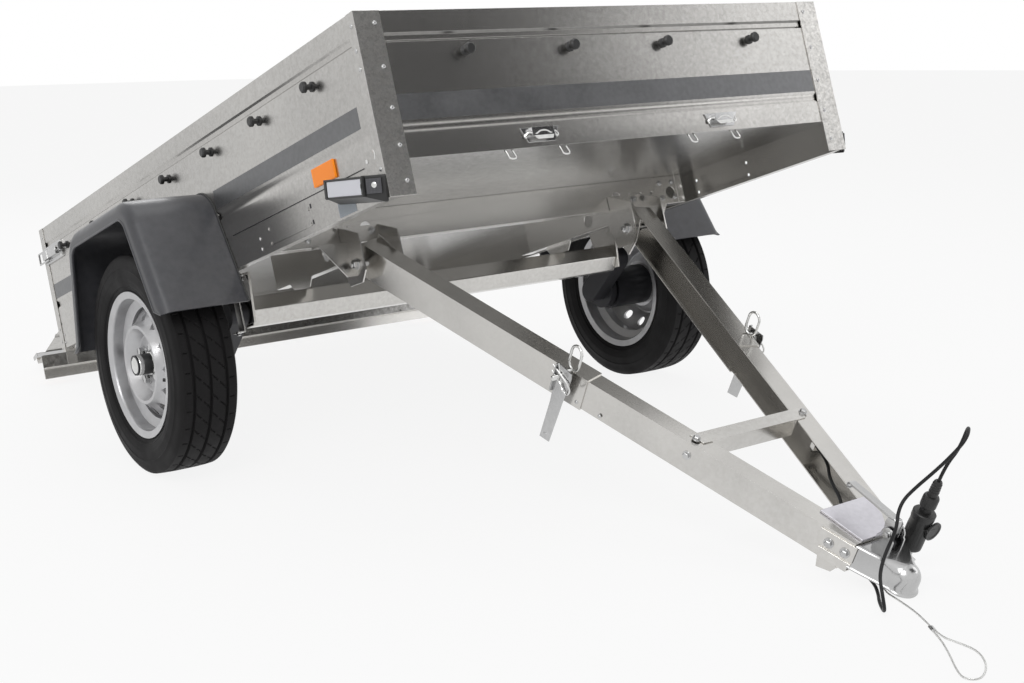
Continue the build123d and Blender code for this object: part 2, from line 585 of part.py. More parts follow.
# ---- mudguards ----------------------------------------------------------------------------
guard_w, guard_t = 215.0, 4.0
guard_top, guard_low = 210.0, -83.0
guard_top_half, guard_low_half = 213.0, 315.0
guard_side, guard_bend, guard_soft = 42.0, 62.0, 16.0   # side flange, bends in the roof, soft outer edge
guard_rake = atan2(guard_low_half - guard_top_half, guard_top - guard_low)


def arch(shrink):
    """Plan-view arch of the mudguard from the side, shrunk inward, open to below."""
    k = shrink / cos(guard_rake)
    run = shrink * tan(guard_rake)
    drop = guard_low - (0 if shrink == 0 else 40)
    wide = guard_low_half + (guard_low - drop) * tan(guard_rake)
    return [(hub_y - wide + k, drop), (hub_y - guard_top_half + k - run, guard_top - shrink),
            (hub_y + guard_top_half - k + run, guard_top - shrink), (hub_y + wide - k, drop)]


def arch_body(x, shrink, bend, mode=Mode.ADD):
    """Solid under an arch between a pair of x, its two roof corners bent round."""
    with BuildSketch(across(bed, min(x))) as face:
        with BuildLine():
            Polyline(*arch(shrink), close=True)
        make_face()
        fillet(face.vertices().group_by(Axis.Y)[-1], radius=bend)
    extrude(face.sketch, amount=abs(x[1] - x[0]), mode=mode)


for side, name in ((-1, "mudguard_left"), (1, "mudguard_right")):
    edge, wall = side * (half_w + guard_w), side * wall_x
    with BuildPart() as guard:
        arch_body((wall, edge), 0, guard_bend)
        rim_edges = [e for e in guard.edges() if abs(e.center().X - edge) < 0.01
                     and bed.to_local_coords(e.center()).Z > guard_low + 1]
        fillet(rim_edges, radius=guard_soft)
        arch_body((wall - side, edge - side * guard_soft), guard_t, guard_bend - guard_t, Mode.SUBTRACT)
        arch_body((edge - side * (guard_soft + 1), edge - side * guard_t), guard_soft, guard_bend - guard_soft,
                  Mode.SUBTRACT)
        arch_body((edge - side * (guard_t + 1), edge + side), guard_side, guard_bend - guard_side, Mode.SUBTRACT)
    save(guard, name)

# stays under the mudguards' front ends, bolted to the side walls
stay_y, stay_w, stay_t, stay_low, stay_foot = hub_y - 252, 30.0, 3.0, -150.0, 20.0
with BuildPart() as stays:
    for side in (-1, 1):
        xs = sorted((side * wall_x, side * (wall_x + stay_t)))
        block(bed, xs, (stay_y - stay_w / 2, stay_y + stay_w / 2), (stay_low, 30))
        xs = sorted((side * wall_x, side * (wall_x + stay_foot)))
        block(bed, xs, (stay_y - stay_w / 2, stay_y + stay_w / 2), (stay_low, stay_low + stay_t))
save(stays, "mudguard_stays")

# ---- tailgate -----------------------------------------------------------------------------
skin = gate_t / 2
knuckle_r, knuckle_l, hinge_xs = 9.0, 30.0, (-0.4 * gate_w, -15.0, 0.377 * gate_w)
pin_hinge_r, tongue_l, knuckle_gap = 5.0, 20.0, 0.6
gate_ribs = [(rib_low_z - gate_z + 8, rib_low_w), (rib_high_z - gate_z, rib_high_w)]
with BuildPart() as tailgate:
    near = pin_hinge_r + fit
    out_side, in_side = [], []
    for y, w in gate_ribs:
        out_side += [(y - w, -skin), (y - w / 2, -skin + rib_d), (y + w / 2, -skin + rib_d), (y + w, -skin)]
        in_side += [(y - w - sheet / 2, -skin + sheet), (y - w / 2 - sheet / 2, -skin + rib_d + sheet),
                    (y + w / 2 + sheet / 2, -skin + rib_d + sheet), (y + w + sheet / 2, -skin + sheet)]
    section = ([(near, skin), (near, -skin)] + out_side + [(gate_h, -skin), (gate_h, skin), (gate_h - 14, skin),
               (gate_h - 14, skin - sheet), (gate_h - sheet, skin - sheet), (gate_h - sheet, -skin + sheet)]
               + in_side[::-1] + [(near + sheet, -skin + sheet), (near + sheet, skin)])
    outline(across(gate, -gate_w / 2), section, gate_w)
    for x in hinge_xs:
        rod(gate, (x + tongue_l + knuckle_gap, x + tongue_l + knuckle_l), 0, 0, knuckle_r)
        rod(gate, (x - 1, x + tongue_l + knuckle_l + 1), 0, 0, near, Mode.SUBTRACT)
save(tailgate, "tailgate")

with BuildPart() as gate_pins:
    for x in hinge_xs:
        rod(bed, (x, x + tongue_l + knuckle_l + 2), gate_y, gate_z, pin_hinge_r)
        block(bed, (x, x + tongue_l), (tub_l - post_t - fit, gate_y), (gate_z - 4, gate_z + 4))
save(gate_pins, "tailgate_hinges")

catch_y, catch_w, catch_out = 210.0, 40.0, 32.0
with BuildPart() as gate_catches:
    for side in (-1, 1):
        xs = sorted((side * (gate_w / 2 - 60), side * (gate_w / 2 + catch_out)))
        block(gate, xs, (catch_y - catch_w / 2, catch_y + catch_w / 2), (-skin - 3, -skin))
        xs = sorted((side * (gate_w / 2 + catch_out - 3), side * (gate_w / 2 + catch_out)))
        block(gate, xs, (catch_y - catch_w / 2, catch_y + catch_w / 2), (-skin - 12, -skin))
save(gate_catches, "gate_catches")

# ---- fittings -----------------------------------------------------------------------------
knob_z, knob_l = 288.0, 26.0
spool = [(0, 0), (11, 0), (11, 3), (6, 6), (6, 14), (12, 17), (12, 23), (9, knob_l), (0, knob_l)]    # (radius, out)
side_knobs = [tub_l * share for share in (0.1066, 0.2345, 0.3668, 0.4976, 0.625, 0.7558, 0.8944)]
end_knobs = [tub_w * share for share in (-0.3113, -0.1023, 0.1023, 0.3113)]


def spool_on(spot, out):
    """Tarp knob standing on a face at a spot, its axis pointing out."""
    across_it = Vector(1, 0, 0) if abs(out.X) < 0.5 else Vector(0, 1, 0)
    plane = Plane(origin=spot, x_dir=across_it, z_dir=across_it.cross(out))
    rise = 1 if plane.y_dir.dot(out) > 0 else -1
    with BuildSketch(plane) as profile:
        with BuildLine():
            Polyline(*[(r, rise * h) for r, h in spool], close=True)
        make_face()
    revolve(profile.sketch, axis=Axis(spot, out))


with BuildPart() as knobs:
    for side in (-1, 1):
        for y in side_knobs:
            spool_on(bed.from_local_coords((side * wall_x, y, knob_z)), bed.x_dir * side)
    for x in end_knobs:
        spool_on(bed.from_local_coords((x, front_face, knob_z)), bed.y_dir * -1)
save(knobs, "tarp_knobs")

with BuildPart() as gate_knobs:
    for x in end_knobs:
        spool_on(gate.from_local_coords((x, catch_y, -skin)), gate.z_dir * -1)
save(gate_knobs, "gate_knobs")

lamp_y0, lamp_y1, lamp_top, lamp_out, lens_t = 34.0, 210.0, 92.0, 36.0, 2.0
with BuildPart() as lamps:
    for side in (-1, 1):
        face = [(lamp_y0, 6), (lamp_y0, lamp_top), (lamp_y1 - 12, lamp_top), (lamp_y1, lamp_top - 14), (lamp_y1, 16),
                (lamp_y1 - 14, 0), (lamp_y0 + 8, 0)]
        outline(across(bed, min(side * wall_x, side * (half_w + lamp_out))), face, lamp_out + post_t)
        xs = sorted((side * (half_w + lamp_out - lens_t), side * (half_w + lamp_out + 1)))
        block(bed, xs, (lamp_y0 + 46, lamp_y1 - 18), (18, lamp_top - 20), Mode.SUBTRACT)
        xs = sorted((side * (half_w + 6), side * (half_w + lamp_out - 5)))
        block(bed, xs, (lamp_y0 - 1, lamp_y0 + 24), (22, lamp_top - 18), Mode.SUBTRACT)
save(lamps, "marker_lamps")

with BuildPart() as lenses:
    for side in (-1, 1):
        xs = sorted((side * (half_w + lamp_out - lens_t), side * (half_w + lamp_out + 2)))
        block(bed, xs, (lamp_y0 + 46 + fit, lamp_y1 - 18 - fit), (18 + fit, lamp_top - 20 - fit))
        xs = sorted((side * (half_w + 6 + fit), side * (half_w + lamp_out - 5 - fit)))
        block(bed, xs, (lamp_y0 + 2, lamp_y0 + 24), (22 + fit, lamp_top - 18 - fit))
save(lenses, "marker_lenses")

with BuildPart() as reflectors:
    for side in (-1, 1):
        for y, z in ((lamp_y1 + fit, 88.0), (tub_l - 314, 86.0)):
            block(bed, sorted((side * wall_x, side * (wall_x + 4))), (y, y + 62), (z, z + 56))
save(reflectors, "side_reflectors")

bar_low, bar_high, bar_half = -84.0, -50.0, half_w + 70
bar_back = tub_l - 4.0
with BuildPart() as lamp_bar:
    block(bed, (-bar_half, bar_half), (bar_back - 3, bar_back), (bar_low, bar_high))
    block(bed, (-bar_half, bar_half), (bar_back - 30, bar_back - 3), (bar_high - 3, bar_high))
    for side in (-1, 1):
        xs = sorted((side * (half_w - 40), side * (half_w - 8)))
        block(bed, xs, (bar_back - 3, bar_back), (bar_high, -fit))
save(lamp_bar, "lamp_bar")

with BuildPart() as tail_lamps:
    for side in (-1, 1):
        xs = sorted((side * (bar_half - 200), side * (bar_half - 5)))
        block(bed, xs, (bar_back, bar_back + 42), (bar_low + 2, -12))
save(tail_lamps, "tail_lamps")

# over-centre latches that hold the tailgate shut, at the tub's rear corners
latch_z, latch_h, latch_y0, latch_y1, latch_t = 262.0, 52.0, tub_l - 178, tub_l - 18, 3.0
with BuildPart() as latches:
    for side in (-1, 1):
        face = side * half_w
        block(bed, sorted((face, face + side * latch_t)), (latch_y0, latch_y1), (latch_z, latch_z + latch_h))
        block(bed, sorted((face - side * post_t, face)), (latch_y0, tub_l - post_side_w - fit),
              (latch_z, latch_z + latch_h))
        block(bed, sorted((face + side * latch_t, face + side * 15)), (latch_y0 + 24, latch_y1 - 12),
              (latch_z + 14, latch_z + 38))
        for z in (latch_z + 10, latch_z + 42):
            block(bed, sorted((face + side * 6, face + side * 11)), (latch_y1 - 50, latch_y1 + 36), (z - 2.5, z + 2.5))
            block(bed, sorted((face + side * latch_t, face + side * 6)), (latch_y1 - 50, latch_y1 - 40),
                  (z - 2.5, z + 2.5))
        block(bed, sorted((face + side * 6, face + side * 11)), (latch_y1 + 31, latch_y1 + 36),
              (latch_z + 7.5, latch_z + 44.5))
save(latches, "gate_latches")

with BuildPart() as catches:
    for x in (-0.2 * tub_w, 0.2 * tub_w):
        plate = [(x - 52, 116), (x + 52, 116), (x + 36, 84), (x - 36, 84)]
        outline(facing(bed, front_face), plate, 3)
        block(bed, (x - 30, x + 30), (front_face - 14, front_face - 3), (96, 114))
save(catches, "front_catches")

# ---- cords --------------------------------------------------------------------------------
# the lighting plug stands in a holder beside the coupling head
plug_x, plug_y, plug_low, plug_r, plug_l = 86.0, bar_l - 63.0, -28.0, 20.0, 118.0
neck_r, neck_l = 12.0, 76.0


def upright(x, y, r, z, mode=Mode.ADD):
    """Cylinder square to the drawbar between a pair of heights."""
    with BuildSketch(bar.offset(z[0])) as disc:
        with Locations((x, -y)):
            Circle(r)
    extrude(disc.sketch, amount=z[1] - z[0], mode=mode)


with BuildPart() as holder:
    tab = [(head_half - 12, -arm_front_y - 8), (plug_x - 6, -arm_front_y + 4), (plug_x + plug_r, -plug_y + 8),
           (plug_x + plug_r, -plug_y - 14), (plug_x - 14, -plug_y - plug_r), (head_half - 26, -plug_y - 16)]
    outline(bar.offset(plug_low - fit - 3), tab, 3)
save(holder, "plug_holder")

with BuildPart() as plug:
    top = plug_low + plug_l
    upright(plug_x, plug_y, plug_r, (plug_low, top - 8))
    upright(plug_x, plug_y, plug_r + 2, (top - 14, top))
    upright(plug_x, plug_y, neck_r, (top, top + 12))
    upright(plug_x, plug_y, neck_r + 4.5, (top + 12, top + 40))
    upright(plug_x, plug_y, neck_r - 1.5, (top + 40, top + neck_l))
save(plug, "plug")

with BuildPart() as flap:
    # round lid on the plug's front, opened to the right
    face = Plane(origin=bar.from_local_coords((plug_x + 12, -plug_y - plug_r - 9, plug_low + 84)),
                 x_dir=(1, 0, 0), z_dir=bar.y_dir)
    with BuildSketch(face) as lid:
        Circle(21)
    extrude(lid.sketch, amount=6)
    block(bar, (plug_x - 6, plug_x + 6), (-plug_y - plug_r - 4, -plug_y - plug_r - fit),
          (plug_low + 76, plug_low + 92))
save(flap, "plug_flap")


def cord(points, r, radii):
    """Round cord along straight runs joined by arcs, in the row frame."""
    with BuildPart() as piece:
        with BuildLine() as path:
            FilletPolyline(*points, radius=radii)
        with BuildSketch(Plane(origin=path.line @ 0, z_dir=path.line % 0)):
            Circle(r)
        sweep()
    length = sum(edge.length for edge in path.line.edges())
    print("cord length", round(length), "volume over section x length", round(piece.part.volume / (pi * r * r * length), 3),
          "radii", radii)
    return piece


def arc_radii(points, share=0.45):
    """Radius of the arc at each corner, from its shorter run and its turn."""
    found = []
    for a, b, d in zip(points, points[1:], points[2:]):
        u, v = Vector(*b) - Vector(*a), Vector(*d) - Vector(*b)
        turn = radians(u.get_angle(v))
        found.append(round(min(share * min(u.length, v.length) / tan(turn / 2), 400), 1))
    return found


cable_r, rope_r = 3.5, 2.0
nose_back = bar.from_local_coords((0, -bar_l, 0)).Y


def on_bar(x, ahead, high):
    """Point ahead of the arms' front ends, in the drawbar's frame, as row coordinates."""
    return tuple(bar.from_local_coords((x, -arm_front_y - ahead, high)))


def on_ground(x, ahead, high):
    """Point ahead of the coupling's ball centre, measured along the ground and up from it."""
    return (x, nose_back - ahead, high)


# lighting cable: out of the boss in the right arm, under the gusset to the ground, up in front of the
# handle and over to the plug's neck
exit_frame = arm_frame(1, clip_y)
light_way = [tuple(exit_frame.from_local_coords((0, -11, clip_w))),
             tuple(exit_frame.from_local_coords((0, -11, clip_w + 48))),
             on_bar(84, -210, 3), on_bar(68, -152, -8), on_bar(44, -110, -30), on_bar(22, -68, -47),
             on_bar(-3, -28, -52), on_ground(-18, -57, 9), on_ground(-45, -24, 4), on_ground(-76, 4, 3.8),
             on_ground(-112, 49, 3.8), on_ground(-121, 46, 50), on_ground(-95, 18, 63), on_bar(-70, 68, 41),
             on_bar(-42, 50, 55), on_bar(-34, 46, 77), on_bar(-28, 41, 101), on_bar(-16, 25, 117),
             on_bar(2, 14, 136), on_bar(20, 17, 163), on_bar(35, 29, 203), on_bar(44, 41, 242),
             on_bar(52, 57, 297), on_bar(92, 27, 300), on_bar(98, 25, 246), on_bar(plug_x, 20, 204),
             on_bar(plug_x, 20, plug_low + plug_l + neck_l)]
save(cord(light_way, cable_r, arc_radii(light_way)), "light_cable")

# steel safety cable from the foot to a pressed ferrule, and the loop beyond the ferrule
ferrule_l, ferrule_w = 22.0, 11.0
ferrule_at = Vector(on_ground(-86, 131, rope_r + 0.2))
heading = Vector(-24, -37, 0).normalized()
aside = Vector(-heading.Y, heading.X, 0)
rope_way = [on_bar(14, -16, -52), on_bar(13, 8, -53), on_ground(0, -62, 4.5), on_ground(-21, -38, 2.4),
            on_ground(-33, -20, 2.3), on_ground(-42, 12, 2.2), on_ground(-55, 66, 2.2), tuple(ferrule_at - heading * 30), tuple(ferrule_at)]
save(cord(rope_way, rope_r, arc_radii(rope_way)), "safety_cable")

tip = ferrule_at + heading * ferrule_l
eye_way = [tuple(tip + aside * 2.6), tuple(tip + aside * 2.6 + heading * 25),
           on_ground(-111, 196, 2.2), on_ground(-108, 221, 2.2), on_ground(-110, 246, 2.2),
           on_ground(-126, 275, 2.2), on_ground(-157, 303, 2.2), on_ground(-193, 332, 2.2),
           on_ground(-221, 296, 2.2), on_ground(-193, 269, 2.2), on_ground(-155, 226, 2.2),
           tuple(tip - aside * 2.6 + heading * 34), tuple(tip - aside * 2.6)]
save(cord(eye_way, rope_r, arc_radii(eye_way)), "safety_loop")

with BuildPart() as ferrule:
    with BuildSketch(Plane(origin=ferrule_at, x_dir=aside, z_dir=heading)) as end:
        Rectangle(ferrule_w, 2 * ferrule_at.Z)
    extrude(end.sketch, amount=ferrule_l)
save(ferrule, "cable_ferrule")

print("bar slope", round(bar_slope, 2), "gate slope", round(gate_slope, 2))
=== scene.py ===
from math import asin, atan2, cos, hypot, pi, radians, sin, tan

import bmesh
import bpy
from bpy.props import FloatProperty, FloatVectorProperty, IntProperty, PointerProperty
from mathutils import Matrix, Vector


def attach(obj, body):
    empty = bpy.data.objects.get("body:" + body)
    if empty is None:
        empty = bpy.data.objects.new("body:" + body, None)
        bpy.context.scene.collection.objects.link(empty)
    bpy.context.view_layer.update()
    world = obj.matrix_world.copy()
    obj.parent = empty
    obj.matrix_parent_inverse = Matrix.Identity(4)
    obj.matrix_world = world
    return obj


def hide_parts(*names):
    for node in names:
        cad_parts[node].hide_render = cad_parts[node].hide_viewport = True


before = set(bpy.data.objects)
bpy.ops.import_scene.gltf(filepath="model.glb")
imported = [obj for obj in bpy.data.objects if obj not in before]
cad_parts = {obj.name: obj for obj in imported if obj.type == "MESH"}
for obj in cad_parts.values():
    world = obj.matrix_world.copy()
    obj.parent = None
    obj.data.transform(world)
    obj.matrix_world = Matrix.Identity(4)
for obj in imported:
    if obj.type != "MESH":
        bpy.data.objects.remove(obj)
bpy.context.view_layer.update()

bl_info = {
    "name": "Tipping utility trailer",
    "version": (1, 0, 0),
    "blender": (4, 5, 0),
    "location": "3D View > Sidebar > Trailer",
    "description": "Dresses the trailer's CAD frame with finishes, tyres, cords and fittings",
    "category": "Object",
}

MM = 0.001

# ---- frames of the tub and the drawbar --------------------------------------------------------


def tilted(origin, slope):
    """Millimetre frame on a line across the trailer; its Y axis rises by `slope` degrees to the rear."""
    e = radians(slope)
    turn = Matrix(((1, 0, 0), (0, cos(e), -sin(e)), (0, sin(e), cos(e)))).to_4x4()
    return Matrix.Translation(Vector(origin) * MM) @ turn @ Matrix.Scale(MM, 4)


BED = tilted((0, -730.410, 760.732), -18.65)
BAR = tilted((0, -254.676, 541.064), 22.272)
GROUND = Matrix.Scale(MM, 4)
METRES = Matrix.Identity(4)

# main sizes of the CAD frame, in millimetres: tub, wheels, drawbar
HALF_W, TUB_L = 665.0, 2064.0
WALL_X = HALF_W - 2.5
HUB_Y, HUB_Z, TYRE_X = 1030.0, -166.6, 772.5
TYRE_R, RIM_R = 273.5, 182.5
BAR_L, ARM_FRONT_Y = 1333.0, 1250.0
ARM_REAR_X, ARM_FRONT_X = 414.0, 43.7
ARM_SLANT = atan2(ARM_REAR_X - ARM_FRONT_X, ARM_FRONT_Y)
SIDES = ((-1, "left"), (1, "right"))

# ---- sizes and colours a user would change ----------------------------------------------------


def colour(name, description, default):
    """Colour property of the panel."""
    return FloatVectorProperty(name=name, description=description, default=default, size=3,
                               min=0.0, max=1.0, subtype="COLOR")


def length(name, description, default, low, high):
    """Length property of the panel, in metres."""
    return FloatProperty(name=name, description=description, default=default, min=low, max=high,
                         unit="LENGTH")


class TRAILER_PG_finishes(bpy.types.PropertyGroup):
    """Colours and grain sizes of the finishes."""

    zinc_dark: colour("Zinc, dark crystals", "Darkest tone of the galvanised sheet", (0.285, 0.280, 0.270))
    zinc_light: colour("Zinc, light crystals", "Lightest tone of the galvanised sheet", (0.62, 0.605, 0.580))
    plated: colour("Zinc plate", "Tone of the plated fittings", (0.50, 0.50, 0.50))
    rim_paint: colour("Rim paint", "Silver paint of the wheels", (0.52, 0.52, 0.53))
    rubber: colour("Rubber", "Tyre rubber", (0.009, 0.0085, 0.009))
    guard: colour("Mudguards", "Plastic of the mudguards", (0.062, 0.063, 0.070))
    black: colour("Black parts", "Knobs, lamp housings and plug", (0.012, 0.012, 0.013))
    amber: colour("Reflectors", "Amber side reflectors", (1.0, 0.24, 0.0))
    band: colour("Bands", "Bare bands on the walls", (0.165, 0.167, 0.172))
    crystal: length("Crystal size", "Width of the zinc crystals", 0.007, 0.002, 0.1)


class TRAILER_PG_sizes(bpy.types.PropertyGroup):
    """Sizes of the fittings that the frame leaves to the dressing."""

    cable_d: length("Cable", "Diameter of the lighting cable", 0.007, 0.004, 0.012)
    rope_d: length("Safety cable", "Diameter of the steel safety cable", 0.004, 0.002, 0.008)
    rivet_r: length("Rivet", "Radius of the rivet heads", 0.0042, 0.002, 0.01)
    groove: length("Tread depth", "Depth of the tyre grooves", 0.0062, 0.0, 0.009)
    blocks: IntProperty(name="Tread blocks", description="Blocks round the tyre", default=36, min=20, max=90)


# ---- shader groups ----------------------------------------------------------------------------


class Tree:
    """Short way to add linked nodes to a node tree."""

    def __init__(self, tree):
        self.tree = tree

    def put(self, socket, value):
        """Gives a socket a plain value, or links another node's output to it."""
        if isinstance(value, bpy.types.NodeSocket):
            self.tree.links.new(value, socket)
        else:
            socket.default_value = value

    def add(self, kind, inputs=None, **settings):
        """Adds a node with its settings and inputs."""
        node = self.tree.nodes.new(kind)
        for key, value in settings.items():
            setattr(node, key, value)
        for key, value in (inputs or {}).items():
            self.put(node.inputs[key], value)
        return node

    def feed(self, shader, **inputs):
        """Sets a shader's inputs; underscores in their names stand for spaces."""
        for key, value in inputs.items():
            self.put(shader.inputs[key.replace("_", " ")], value)

    def math(self, operation, a, b, clamp=False):
        """Math node's output."""
        return self.add("ShaderNodeMath", {0: a, 1: b}, operation=operation, use_clamp=clamp).outputs[0]

    def spread(self, value, low, high, to_low=0.0, to_high=1.0):
        """Value moved from one range to another and clamped."""
        return self.add("ShaderNodeMapRange", {"Value": value, "From Min": low, "From Max": high,
                                               "To Min": to_low, "To Max": to_high}).outputs[0]

    def blend(self, factor, a, b):
        """Colour between two colours."""
        node = self.add("ShaderNodeMix", {0: factor}, data_type="RGBA")
        for socket, value in ((node.inputs[6], a), (node.inputs[7], b)):
            self.put(socket, value if isinstance(value, bpy.types.NodeSocket) else (*value[:3], 1.0))
        return node.outputs[2]

    def noise(self, place, scale, detail, **more):
        """Noise texture's strength."""
        inputs = {"Vector": place, "Scale": scale, "Detail": detail, **more}
        return self.add("ShaderNodeTexNoise", inputs).outputs["Fac"]


def effect_group(name, inputs, outputs, build):
    """Shader group with named float inputs (name, default) and float outputs, filled by `build`."""
    tree = bpy.data.node_groups.new(name, "ShaderNodeTree")
    for label, default in inputs:
        socket = tree.interface.new_socket(label, in_out="INPUT", socket_type="NodeSocketFloat")
        socket.default_value = default
    for label in outputs:
        tree.interface.new_socket(label, in_out="OUTPUT", socket_type="NodeSocketFloat")
    t = Tree(tree)
    given = t.add("NodeGroupInput").outputs
    place = t.add("ShaderNodeTexCoord").outputs["Object"]
    t.add("NodeGroupOutput", build(t, given, place))


def spangle(t, given, place):
    """Zinc crystals: flat patches of differing tone, with a cloudy drift over the sheet."""
    tones = []
    for scale, channel in ((given["Scale"], 0), (t.math("MULTIPLY", given["Scale"], 2.7), 1)):
        cells = t.add("ShaderNodeTexVoronoi", {"Vector": place, "Scale": scale}).outputs["Color"]
        tones.append(t.add("ShaderNodeSeparateColor", {0: cells}).outputs[channel])
    tone_a, tone_b = tones
    cloud = t.noise(place, given["Cloud scale"], 4.0)
    crystal = t.math("ADD", t.math("MULTIPLY", tone_a, 0.6), t.math("MULTIPLY", tone_b, 0.4))
    crystal = t.math("MULTIPLY", t.math("SUBTRACT", crystal, 0.5), given["Contrast"])
    drift = t.math("MULTIPLY", t.math("SUBTRACT", t.spread(cloud, 0.32, 0.68), 0.5), given["Cloud"])
    tone = t.math("ADD", t.math("ADD", crystal, drift), 0.5, clamp=True)
    return {"Tone": tone, "Height": tone_a}


def grain(t, given, place):
    """Fine moulded or sprayed grain."""
    fine = t.noise(place, given["Scale"], 3.0, Roughness=0.6)
    broad = t.noise(place, t.math("MULTIPLY", given["Scale"], 0.03), 3.0)
    broad = t.math("MULTIPLY", t.spread(broad, 0.3, 0.7), 0.55)
    tone = t.math("ADD", t.math("MULTIPLY", fine, 0.45), broad)
    return {"Tone": tone, "Height": fine}


def edge_wear(t, given, place):
    """Mask along convex edges, broken up by noise."""
    sharp = t.add("ShaderNodeNewGeometry").outputs["Pointiness"]
    breakup = t.spread(t.noise(place, 90.0, 4.0), 0.35, 0.65)
    mask = t.math("MULTIPLY", t.spread(sharp, 0.51, 0.6), breakup)
    return {"Mask": t.math("MULTIPLY", mask, given["Amount"], clamp=True)}


def road_dust(t, given, place):
    """Mask of pale dust, most of it on what faces up."""
    normal = t.add("ShaderNodeNewGeometry").outputs["Normal"]
    up = t.add("ShaderNodeSeparateXYZ", {0: normal}).outputs["Z"]
    patch = t.spread(t.noise(place, 14.0, 6.0, Roughness=0.62), 0.42, 0.72)
    mask = t.math("MULTIPLY", t.spread(up, -0.2, 1.0, 0.25, 1.0), patch)
    return {"Mask": t.math("MULTIPLY", mask, given["Amount"], clamp=True)}


GROUPS = (
    ("Zinc spangle", (("Scale", 60.0), ("Contrast", 0.6), ("Cloud scale", 2.0), ("Cloud", 0.5)),
     ("Tone", "Height"), spangle),
    ("Grain", (("Scale", 700.0),), ("Tone", "Height"), grain),
    ("Edge wear", (("Amount", 0.5),), ("Mask",), edge_wear),
    ("Road dust", (("Amount", 0.2),), ("Mask",), road_dust),
)

# ---- finishes ---------------------------------------------------------------------------------

BARE_EDGE = (0.82, 0.82, 0.81)              # where the zinc is rubbed bright
DUST_ON_METAL, DUST_ON_PLASTIC = (0.36, 0.33, 0.29), (0.20, 0.185, 0.165)


def toned(base, share):
    """Colour made lighter or darker."""
    return [min(1.0, c * share) for c in base]


def use(t, name, **inputs):
    """Places a shader group; underscores in names stand for spaces."""
    node = t.add("ShaderNodeGroup", node_tree=bpy.data.node_groups[name])
    t.feed(node, **inputs)
    return node.outputs


def surface(name, **constants):
    """New material with its Principled shader; returns (tree helper, shader)."""
    material = bpy.data.materials.new(name)
    material.use_nodes = True
    t = Tree(material.node_tree)
    shader = material.node_tree.nodes["Principled BSDF"]
    t.feed(shader, **constants)
    return t, shader


def bump(t, shader, height, strength, distance):
    """Feeds a height to the shader's normal."""
    node = t.add("ShaderNodeBump", {"Height": height, "Strength": strength, "Distance": distance})
    t.feed(shader, Normal=node.outputs[0])


def galvanised(name, dark, light, crystal, contrast, cloud, rough, cloud_scale):
    """Zinc-coated sheet with crystals."""
    t, shader = surface(name, Metallic=1.0)
    flower = use(t, "Zinc spangle", Scale=1 / crystal, Contrast=contrast, Cloud=cloud,
                 Cloud_scale=cloud_scale)
    worn = use(t, "Edge wear", Amount=0.25)["Mask"]
    t.feed(shader, Base_Color=t.blend(worn, t.blend(flower["Tone"], dark, light), BARE_EDGE),
           Roughness=t.spread(flower["Tone"], 0.0, 1.0, rough[1], rough[0]))
    bump(t, shader, flower["Height"], 0.012, 0.0003)


def grained(name, base, rough, scale, depth, reach, tones, worn, dust, **constants):
    """Finish with fine grain; `worn` and `dust` are each an amount and a colour."""
    t, shader = surface(name, **constants)
    tone = use(t, "Grain", Scale=scale)
    shade = t.blend(tone["Tone"], toned(base, tones[0]), toned(base, tones[1]))
    for group, (amount, over) in (("Edge wear", worn), ("Road dust", dust)):
        if amount:
            shade = t.blend(use(t, group, Amount=amount)["Mask"], shade, over)
    t.feed(shader, Base_Color=shade, Roughness=t.spread(tone["Tone"], 0.2, 0.8, *rough))
    bump(t, shader, tone["Height"], depth, reach)


def plain_metal(name, base, rough, scale, depth, metallic=1.0, dust=0.0, coat=0.0):
    """Plated or painted metal."""
    grained(name, base, rough, scale, depth, 0.0003, (0.82, 1.12), (0.35, toned(base, 1.35)),
            (dust, DUST_ON_METAL), Metallic=metallic, Coat_Weight=coat)


def moulded(name, base, rough, scale, depth, dust=0.0, wear=0.0, gloss=0.5):
    """Moulded plastic or rubber."""
    grained(name, base, rough, scale, depth, 0.0005, (0.8, 1.3), (wear, toned(base, 1.5)),
            (dust, DUST_ON_PLASTIC), Specular_IOR_Level=gloss)


def lens(name, base, cells, depth, lamp_and_painted_glow=0.0):
    """Lamp lens or reflector: coloured gloss plastic over small prisms, with a glow that is lamp light on
    lamps and painted light on reflectors.
    """
    t, shader = surface(name, Coat_Weight=0.2, Coat_Roughness=0.06, Roughness=0.25, Specular_IOR_Level=0.3)
    place = t.add("ShaderNodeTexCoord").outputs["Object"]
    prisms = t.add("ShaderNodeTexVoronoi", {"Vector": place, "Scale": cells, "Randomness": 0.0},
                   distance="CHEBYCHEV").outputs["Distance"]
    shade = t.blend(t.spread(prisms, 0.1, 0.75), toned(base, 1.15), toned(base, 0.62))
    t.feed(shader, Base_Color=shade)
    # glow from emission: lamp light on lamp lenses, painted light on the reflectors, which are no lamps
    if lamp_and_painted_glow:
        t.feed(shader, Emission_Color=shade, Emission_Strength=lamp_and_painted_glow)
    bump(t, shader, prisms, depth, 0.001)


